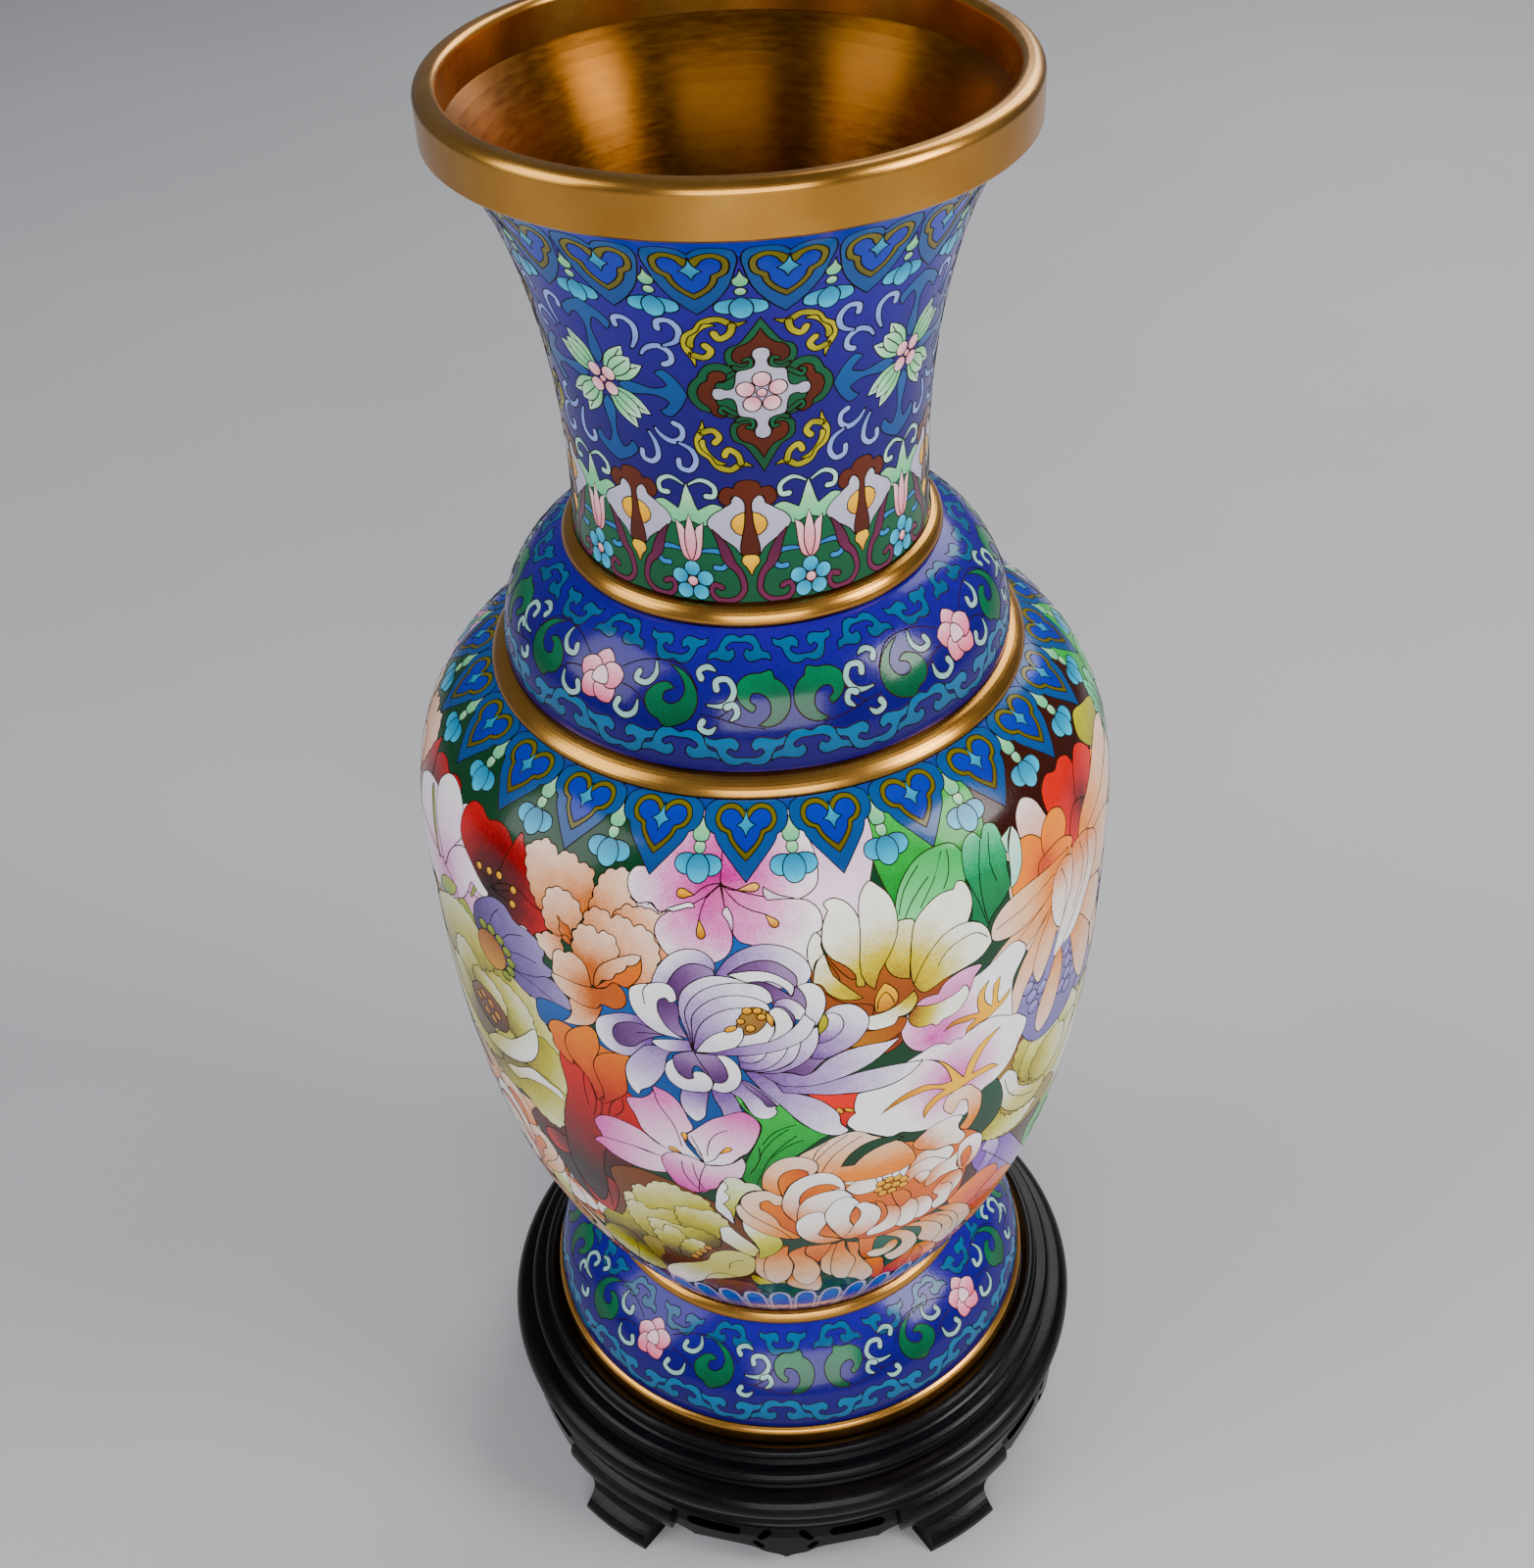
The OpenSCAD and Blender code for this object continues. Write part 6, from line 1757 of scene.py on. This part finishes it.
def left_peony(pen):
    """Big yellow-green peony on the left side, with a painted sheen along its lower petal."""
    heart = (-86, 134)
    rows = [[(-112, 140), (-111, 152), (-104, 158), (-97, 162.6), (-90, 165), (-83, 163), (-79.6, 158),
             (-77, 152), (-82, 142), (-96, 136)],
            [(-76, 153), (-73, 154.4), (-68, 154.9), (-65.7, 152.2), (-63, 151.7), (-59.4, 149.9),
             (-58.9, 147.2), (-60.5, 144.5), (-58.5, 141.7), (-58.2, 138.5), (-57.1, 137.2), (-66, 128),
             (-80, 140)],
            [(-57.5, 135.1), (-55.3, 134.5), (-53.9, 132.2), (-53.2, 129), (-54.4, 125.8),
             (-53.5, 122.6), (-54.8, 119.9), (-59.8, 117), (-68, 120), (-74, 130), (-62, 138)],
            [(-92, 118), (-80, 121), (-72, 122), (-64, 122), (-55.7, 116.7), (-57.1, 111.3),
             (-58.9, 108.1), (-61, 106.7), (-62.1, 104), (-64.4, 102), (-67.1, 102), (-72, 104),
             (-76, 107), (-82, 106), (-92, 110)],
            [(-112, 139), (-114, 128), (-110, 118), (-102, 112), (-92, 111), (-84, 114), (-84, 122),
             (-94, 132), (-104, 138)]]
    petals(pen, rows, OLIVE, heart, lobed=True)
    # Pale olive-white sliver along the top of the lower petal: a painted sheen, a highlight painted into
    # the enamel.
    pen.fill([(-82, 113.4), (-76, 117.4), (-68, 122.2), (-63.5, 120.8), (-59.8, 119.9), (-58.5, 116.7),
              (-64, 118), (-72, 116), (-78, 112)], OLIVE_WHITE)
    inner = [[(-100, 140), (-99, 146), (-96, 150), (-91, 151.6), (-86, 149.4), (-83, 145), (-86, 138),
              (-96, 136)],
             [(-84, 144), (-82, 148), (-77, 150.4), (-71, 149.6), (-66, 146), (-64.4, 140), (-66, 134),
              (-72, 130.6), (-80, 136)],
             [(-90, 143), (-87, 146), (-82, 146.6), (-77, 144.4), (-75, 140), (-78, 134), (-86, 134)],
             [(-104, 138), (-103, 128), (-97, 121), (-91, 118.4), (-84, 118.4), (-84, 126), (-90, 132),
              (-97, 139)]]
    petals(pen, inner, shades("5c4a08", "c0ba68", "dedcc4"), heart, lobed=True)
    pen.fill([(-64.6, 139.6), (-64.6, 133), (-68, 126), (-74, 121), (-80, 118.4), (-90, 117.4),
              (-84, 124), (-76, 128), (-70, 134)], OLIVE_WHITE, [(-80, 128), (-70, 122)])
    pen.fill([(-93, 134), (-88, 139.6), (-82, 140), (-76, 136), (-77, 130), (-86, 126.6)], HEART_BROWN)
    for x, y in ((-89, 134), (-86, 131), (-83, 135.6), (-86.4, 136.6), (-80.6, 133), (-83, 130)):
        pen.disc(x, y, 1.5, shades("a86c18", "d09a30"))


def far_lily(pen):
    """White and pink lily at the far left, above the peony."""
    rows = [[(-123, 173), (-122, 182), (-118, 186), (-111.6, 188.7), (-105.9, 188.7), (-102, 183.7),
             (-98, 174), (-106.7, 170)],
            [(-105.1, 193.7), (-102.7, 195.4), (-98.6, 195.9), (-93, 193.7), (-89.7, 190.1),
             (-88.6, 186.6), (-91.3, 182.3), (-97, 172, 1), (-101.9, 179.4), (-105.1, 185.1),
             (-106.7, 190.9)],
            [(-97, 172, 1), (-93, 180.1), (-88.1, 183.7), (-83.3, 184), (-78.4, 182), (-75.2, 178.7),
             (-76, 175.9), (-80, 175.1), (-82.5, 176.6), (-84.9, 172.3), (-87.3, 168.7),
             (-92.2, 165.9)],
            [(-123, 172.3), (-112, 174), (-97, 172, 1), (-91, 168), (-92, 163), (-98.6, 160.3),
             (-113.2, 158), (-124, 160)]]
    petals(pen, rows, shades("dca0cc", "f0dcea", "f4f2f4"), (-97, 172))
    pen.line([(-109.9, 187), (-107.5, 184), (-104, 178), (-101, 172)], [1.6, 2.2, 1.6, 0.6],
             shades("7c9438", "a8b860"))
    pen.fill([(-104, 160, 1), (-98, 162), (-92, 167), (-91, 169.6, 1), (-97, 168.6), (-101.6, 165)],
             shades("6c8c30", "b0b850"))


def left_chrysanthemum(pen):
    """The peach chrysanthemum's mirror image, low on the left side."""
    twin = pen.at(x=-82, y=-6, flip=True)
    for part in (lower_petals, right_petals, peach_chrysanthemum):
        part(twin)


def dark_poppy(pen):
    """Red flower under the pink lily, black towards its top."""
    pen.fill([(-76, 98), (-70, 106), (-62, 109), (-54, 116), (-46, 112), (-41, 102), (-42, 92),
              (-45, 84), (-47, 76), (-53, 70.4), (-60, 72), (-66, 78), (-70, 88)], MAROON)
    pen.fill([(-66, 100), (-71, 96), (-68, 90), (-62, 92), (-58, 96)], POPPY, [(-58, 100), (-70, 92)])
    pen.fill([(-61, 89), (-55, 91), (-48, 88.5), (-45.6, 82), (-47, 75), (-53, 70.4), (-58, 71.4),
              (-61, 78)], shades("900810", "7a0810", "b40c14"), [(-52, 90), (-54, 72)])
    for line in ([(-57, 90), (-56, 82), (-57, 74)], [(-52.4, 90.6), (-51.6, 82), (-52.6, 73)]):
        pen.vein(line)


def warm_pair(pen):
    """Orange flower and red flower side by side at the upper right."""
    pen.fill([(56, 216), (56, 196), (64, 188), (84, 188), (106, 192), (124, 196), (124, 216)], EARTH)
    pen.fill([(66.5, 190), (67.9, 195.9), (71.9, 198), (75.2, 195.9), (76.8, 191.6), (77.6, 186),
              (73.6, 185)], shades("e8a890", "f0e4e4"))
    for row in ([(78.4, 188), (79.2, 195.9), (83.3, 198), (87.3, 196.9), (90.5, 198), (94.6, 196.6),
                 (95.4, 192.3), (94, 184), (84, 180)],
                [(95.4, 193.7), (100.2, 195.9), (104.3, 193.7), (105.9, 190.1), (102.7, 187.3),
                 (97, 182), (91, 184)],
                [(85.7, 174), (84.9, 181.6), (88.9, 185.7), (94.8, 184), (96, 176), (88.9, 172)]):
        pen.add([smooth(row)], shades("4a0c10", "b81418", "d8241c"), glow((93.5, 184), 13))
    for row in ([(62.2, 174), (62.2, 186.6), (65.5, 189.7), (69.5, 189.4), (72.8, 186.6), (74.6, 180),
                 (71.1, 174)],
                [(72.8, 183), (73.4, 187), (76, 189.4), (80, 190.4), (83.3, 188.7), (84.1, 185.1),
                 (81.6, 181), (75.2, 178.6)],
                [(70.6, 180.6), (76, 182), (81.6, 181.6), (85.4, 178.7), (79.2, 174), (70.8, 174)]):
        pen.add([smooth(row)], shades("b83006", "ea7c08", "f09010"), glow((72.6, 179), 11))
    pen.fill([(104, 196), (108, 200), (116, 198), (124, 194), (118, 189), (108, 190)],
             shades("8c8c24", "c4c058"))


def spider_chrysanthemum(pen):
    """White and peach chrysanthemum with thin petals, on the right side."""
    pen.fill([(62, 150), (76, 154), (92, 150), (97, 134), (90, 120), (72, 120), (63, 136)],
             shades("8078ac", "9890bc"))
    for x, y in ((65.4, 147), (69.6, 148.6), (67, 143), (71.4, 144), (68.8, 139), (73, 139),
                 (69.8, 134.6), (74, 134.4), (84, 143), (88, 141.4), (85.6, 138), (89.4, 137),
                 (86, 133.4), (89.6, 131.6), (86.4, 128.4), (83, 131)):
        pen.disc(x, y, 2.1, PALE_BALLS)
    rows = [[(88, 176.6), (90.5, 180.9), (98.6, 185.1), (109.9, 190.1), (119.6, 190.9), (124, 188.7),
             (121, 184), (112, 180.9), (103, 177)],
            [(90, 174.1), (103.5, 178), (114.8, 181.5), (123.7, 183), (124, 174), (113, 169),
             (103.5, 168.4)],
            [(88, 170), (97, 172.3), (111.6, 169.4), (119.6, 159.4), (112, 150.9), (100.2, 155.1),
             (90, 163)],
            [(84, 158), (100.2, 155.1), (108.3, 148), (106.7, 137.4), (100.2, 138), (92.2, 147)],
            [(84, 152, 1), (88.9, 150.9), (96, 144), (101.6, 136), (102, 127), (98.6, 121.3), (93, 127),
             (88.4, 138)],
            [(71.9, 125.1), (71.9, 130.9), (75.2, 139.4), (80, 150, 1), (82.4, 139.4), (81.2, 130.9),
             (77.6, 123.7), (73.6, 122.3)],
            [(60.6, 139.4), (61.4, 148), (64.7, 155.1), (71.1, 162.3), (77.2, 168, 1), (75.6, 159.4),
             (71.1, 152.3), (65.5, 143.7), (62.4, 137.4)],
            [(68.7, 146.6), (69.5, 153.7), (72.8, 160.9), (77.3, 166.7, 1), (77.8, 155.1),
             (74.4, 146.6), (71.1, 142.3)],
            [(47.7, 155.9, 1), (50.9, 159.4), (56.6, 164.4), (67.9, 169.7), (81, 174.3, 1),
             (77.6, 168.1), (71.1, 162.7), (64.7, 158.4), (56.6, 156)],
            [(53.4, 168.7), (53.4, 172.3), (56.6, 175.9), (63.1, 177.7), (71.1, 177.7), (83, 177.6, 1),
             (77, 171.4), (67.9, 166.9), (59.8, 165.9)]]
    petals(pen, rows, SOFT_PEACH, (82, 168))
    pen.vein([(54.6, 171), (64, 172), (76, 174.4)])
    pen.vein([(51, 157.8), (60, 162), (72, 168.4)])
    front = [[(74.6, 168), (76, 173.3), (80, 176), (84.9, 174), (86.4, 165.1), (82, 153.1),
              (77.6, 156.4), (75.2, 162)],
             [(84.9, 176.1), (90, 176.6), (95.4, 173.9), (95, 164.7), (88, 155.1), (81.8, 147.4),
              (77.6, 146), (79.2, 154.1), (83.7, 163.7), (84.6, 170.9)],
             [(94, 174.6), (99, 171), (99.6, 162), (94, 154), (86, 147), (82, 147), (88, 155),
              (93.6, 164)]]
    petals(pen, front, WHITE_PEACH, (82, 177))
    for line in ([(79, 174), (81.6, 166), (80.4, 156)], [(88.6, 175.4), (90.6, 166), (86, 156)]):
        pen.vein(line)


def right_peony(pen):
    """Yellow-green peony on the right side, under the thin petals."""
    heart = (72, 108)
    pen.fill([(53, 122), (56, 128), (66, 128), (70, 110), (84, 96), (92, 88), (74, 84), (60, 90),
              (53, 100)], shades("9a8a10", "c0a840", "7a4420"), [(60, 92), (58, 124)])
    rows = [[(63.9, 116), (66.3, 125.1), (71.1, 127.3), (79.2, 128), (87.3, 125.1), (90, 118),
             (82, 108), (72, 106)],
            [(80, 126), (87.3, 126), (93.8, 120.4), (98.6, 113.7), (96.4, 104), (86, 104)],
            [(98, 110), (95.4, 101), (88.9, 94.6), (80.8, 94.6), (72.8, 99.9), (74, 108), (86, 112)],
            [(67, 112), (70, 120), (76, 122.6), (83, 121), (85, 114), (79, 107), (71, 105)],
            [(72, 110), (77, 115.4), (84, 116), (90, 111), (89, 103), (82, 99), (75, 102)],
            [(54, 104), (53.4, 98), (57, 92), (64, 88), (74, 86), (80, 90), (72, 93), (64, 97),
             (60, 104), (57, 109)]]
    petals(pen, rows, shades("a09418", "d4d284", "e8e8d0"), heart, lobed=True)
    pen.fill([(59, 115.1), (61.4, 117), (65.5, 113.7), (67.9, 106.6), (74.4, 100.9), (83.3, 95.1),
              (79.2, 92.6), (69.5, 94.6), (63.1, 100.3), (59.8, 107.4)], OLIVE_WHITE,
             [(62, 100), (64, 114)])
    pen.vein([(61.4, 114), (64, 106.4), (70, 100), (78, 95.4)])


def low_right(pen):
    """Big lilac petals, a leaf and an orange lily low on the right side."""
    pen.fill([(50, 86), (56, 90), (64, 90), (80, 88), (100, 96), (126, 100), (126, 36), (60, 34),
              (52, 60)], EARTH)
    petals(pen,
           [[(84, 92, 1), (94, 102), (108, 104), (116, 92), (108, 76), (96, 70), (86, 80)],
            [(92, 78, 1), (104, 82), (116, 74), (122, 58), (114, 44), (102, 44), (94, 60)]],
           OLIVE_WHITE, (90, 80))
    green_leaf(pen,
               [(80, 76, 1), (88, 82), (98, 80), (106, 66), (108, 50, 1), (98, 48), (88, 56), (82, 66)],
               [[(82, 74), (94, 66), (106, 52)],
                [(88, 71), (95, 75)],
                [(94, 66), (101, 68)],
                [(88, 71), (89, 62)]])
    petals(pen,
           [[(54, 88), (58, 92), (64, 90.6), (71, 82), (79, 70), (90, 56), (102, 40), (98, 36),
             (88, 36), (76, 50), (66, 66), (58, 76)],
            [(56.5, 74.5), (61.1, 75.4), (63.8, 79.5), (64.3, 84.5), (62.9, 88.5), (60.2, 92.2),
             (57, 88), (59.3, 84.9), (57.5, 78.5)]], shades("8c68b8", "b8a0d4", "d0c0e2"), (58, 72))
    pen.vein([(60, 84), (72, 68), (84, 52), (94, 40)])
    for row in ([(48, 70), (53, 74.6), (60, 76), (66, 73), (70, 64), (76, 56), (70, 48), (60, 56),
                 (52, 64)],
                [(62, 62), (70, 66), (78, 60), (86, 50), (94, 40), (90, 35), (80, 38), (70, 46)],
                [(59, 59), (66, 58), (74, 50), (82, 40), (84, 34), (72, 34), (64, 42), (60, 50)]):
        pen.add([smooth(row)], shades("d02c0c", "e8700c", "f0a018"), glow((62, 58), 24))
    pen.line([(61, 52), (66, 46), (72, 40), (78, 35)], [0.8, 1.6, 1.6, 0.8], STAMEN)
    pen.fill([(56, 40), (60, 42), (66, 38), (72, 34), (54, 33)], shades("c88a94", "b86878"))


def scallops(pen):
    """Tall arches round the foot of the belly, blue inside a pale edge."""
    count = 60
    half = pen.band.around / 2
    pen.add([np.array([(-half, -1), (half, -1), (half, 27), (-half, 27)])], shades("c8bcd8", "d4cade"))
    pitch = pen.band.around / count
    for k in range(count):
        arch = pen.at(x=(k - (count - 1) / 2) * pitch)
        arch.half([(0, 34.6), (1.8, 34), (3.4, 31.4), (4.1, 27), (4.1, 2, 1), (0, 2)],
                  shades("a89cc8", "cbc2e0"))
        arch.half([(0, 32.8), (1.5, 31.6), (2.6, 28.6), (2.9, 24), (2.7, 2, 1), (0, 2)],
                  shades("18309c", "2a4cb4", "4c74c8"), [(0, 4), (0, 32)])


def front_ground(pen):
    """Ground that shows between the flowers: blue, green, red, and brown behind the magnolia."""
    pen.fill([(-44, 114), (-44, 150), (-36, 176), (-20, 188), (6, 190), (10, 172), (0, 150), (-8, 136),
              (-12, 118), (-22, 108)], BLUE)
    pen.fill([(-50, 146), (-62, 146), (-62, 152), (-48, 151.4)], BLUE)
    pen.fill([(10, 180), (17, 178), (22, 171), (26, 158), (31, 152), (27, 146), (18, 147), (12, 152),
              (9, 163)], TAN)
    pen.fill([(-36, 197), (-22, 196), (-20, 188), (-28, 186), (-36, 190)], shades("e4d2e0", "f0e6ee"))
    pen.fill([(38, 120), (44, 126), (56, 120), (60, 100), (52, 96), (38, 104)], shades("10402c", "1c5a3c"))
    green_leaf(pen,
               [(-9.4, 100, 1), (-11.4, 105), (-9.8, 111), (-8, 116), (-6.2, 121), (-5.4, 125.4),
                (-9, 131), (-12.4, 138, 1), (-8, 136), (-3, 133), (.4, 134), (2.4, 128), (6.1, 123.5),
                (11, 120), (8.8, 118.6), (4, 114), (-1, 110), (-4.6, 106), (-6.4, 99.4, 1)],
               [[(-7.6, 101), (-5.6, 108), (-2.4, 115), (3, 121)],
                [(-6.4, 113), (-3, 119.6), (1, 123.6)],
                [(-5.4, 118), (-2, 123), (3, 125.2)],
                [(-9, 106), (-6.4, 112), (-6.4, 117)],
                [(-3.4, 112.6), (.6, 117), (4.6, 119)],
                [(-9.6, 134), (-8, 130.6)]])
    pen.fill([(5, 137, 1), (11.1, 135.2), (18.2, 133.8, 1), (17.2, 130), (17.5, 126.4), (16.1, 124.9),
              (15, 121.4, 1), (13, 121), (12, 127), (9, 132)], shades("c01410", "e02418", "e83020"))
    for x, y, turn in ((13.6, 128.4, -60), (15.9, 128, -35)):
        pen.disc(x, y, 1.5, STAMEN, ry=0.7, turn=turn)


SIDE_FLOWERS = [far_lily, left_chrysanthemum, dark_poppy, left_peony, poppy, violet_flower, warm_pair,
                low_right, right_peony, spider_chrysanthemum]
FRONT_FLOWERS = [front_ground, right_leaves, orange_lily, peach_peony, white_lily, morning_glories,
                 magnolia, lilac_chrysanthemum, pink_lily, olive_peony, lower_petals, right_petals,
                 peach_chrysanthemum]


def draw_belly(band):
    """The flower spray in front, its two mirrored copies round the back, scallops and shoulder."""
    pen = Pen(band)
    third = band.around / 3
    for place, x, flip in (("left", -third, True), ("right", third, True), ("front", 0, False)):
        for flower in SIDE_FLOWERS + FRONT_FLOWERS:
            flower(pen.at(x=x, flip=flip, group=place + "_" + flower.__name__))
    scallops(pen)
    draw_shoulder(pen)


# ---------------------------------------------------------------- the object

def build_band(name, radius, grid, base, draw, enamel, wire):
    """Draws a band, stands its enamel pieces in for the CAD's plain enamel, and adds wires along its cells'
    borders and veins.
    """
    band = Band(name, radius, grid)
    band.base = base
    draw(band)
    points, tris, owner, edges = flat_mesh(band)
    pieces = enamel_pieces(band, points, tris, owner, enamel)
    for piece in pieces:
        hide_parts(name + "_enamel")
    wires = wire_pieces(band, points, edges, wire)
    for piece in pieces + wires:
        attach(piece, "vase")
    print("BAND", name, len(band.cells), "cells", len(tris), "triangles", len(edges), "wire edges")


def dress_cad(wire):
    """Materials for the CAD nodes that stay."""
    gilt = gilt_material("gilt", "bc8234", "cc9444", 0.24)
    inside_metal = brushed_material()
    wood = wood_material()
    for name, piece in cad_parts.items():
        if name.startswith("stand"):
            material = wood
        elif name.endswith("_wires"):
            material = wire
        elif name.endswith("_shell") or name == "bottom_plate":
            material = inside_metal
        else:
            material = gilt
        for slot in piece.material_slots:
            slot.material = material


def make_floor():
    """Flat floor under the stand."""
    size = 8
    floor = new_object("floor",
                       [(-size, -size, 0), (size, -size, 0), (size, size, 0), (-size, size, 0)],
                       [(0, 1, 2, 3)], floor_material())


def aim(place, target):
    """Rotation that points an object's -Z axis at a target."""
    return (Vector(target) - Vector(place)).to_track_quat("-Z", "Y").to_euler()


def make_light(name, place, target, width, height, power, colour=(1, 1, 1)):
    """Oblong lamp aimed at a target."""
    data = bpy.data.lights.new(name, "AREA")
    data.shape = "RECTANGLE"
    data.size = width
    data.size_y = height
    data.energy = power
    data.color = colour
    light = bpy.data.objects.new(name, data)
    light.location = place
    light.rotation_euler = aim(place, target)
    bpy.context.collection.objects.link(light)


def make_lights():
    """Dim sky and four soft lamps, like windows either side."""
    world = bpy.data.worlds.new("studio")
    bpy.context.scene.world = world
    world.use_nodes = True
    world.node_tree.nodes["Background"].inputs[0].default_value = (0.80, 0.86, 0.95, 1)
    world.node_tree.nodes["Background"].inputs[1].default_value = 0.22
    make_light("window_left", (-1.3, -0.4, 1.0), (0, 0, 0.25), 0.9, 1.2, 15, (0.95, 0.98, 1))
    make_light("window_right", (1.25, -0.5, 1.05), (0, 0, 0.25), 0.6, 0.8, 21, (1, 0.98, 0.95))
    make_light("window_back", (0.7, 1.2, 1.3), (0, 0, 0.25), 1.0, 1.0, 16)
    make_light("front_soft", (0.1, -1.5, 0.7), (0, 0, 0.2), 1.2, 0.8, 18)


def make_camera():
    """Camera at the viewing angle: above the front, looking steeply down."""
    place = (0, -0.4132, 0.5728)
    yaw, pitch, roll = (math.radians(a) for a in (0.650, 39.04, -2.585))
    forward = Vector((math.sin(yaw) * math.cos(pitch), math.cos(yaw) * math.cos(pitch), -math.sin(pitch)))
    level = Vector((math.cos(yaw), -math.sin(yaw), 0))
    upward = level.cross(forward)
    right = math.cos(roll) * level + math.sin(roll) * upward
    up = -math.sin(roll) * level + math.cos(roll) * upward
    data = bpy.data.cameras.new("camera")
    data.sensor_fit = "HORIZONTAL"
    data.sensor_width = 36
    data.lens = 47.16
    data.shift_x = -0.011
    data.clip_start = 0.01
    camera = bpy.data.objects.new("camera", data)
    bpy.context.collection.objects.link(camera)
    turn = Matrix((right, up, -forward)).transposed()
    camera.matrix_world = Matrix.Translation(place) @ turn.to_4x4()
    bpy.context.scene.camera = camera


make_camera()
make_lights()
make_floor()
enamel = enamel_material()
wire = gilt_material("wire", "160b02", "321d0a", 0.4)
dress_cad(wire)
build_band("neck", 44, 3, ULTRAMARINE, draw_neck, enamel, wire)
build_band("collar", 60, 3, ULTRAMARINE, draw_collar, enamel, wire)
build_band("foot", 70, 3, ULTRAMARINE, draw_foot, enamel, wire)
build_band("belly", 88, 4, BELLY_GROUND, draw_belly, enamel, wire)
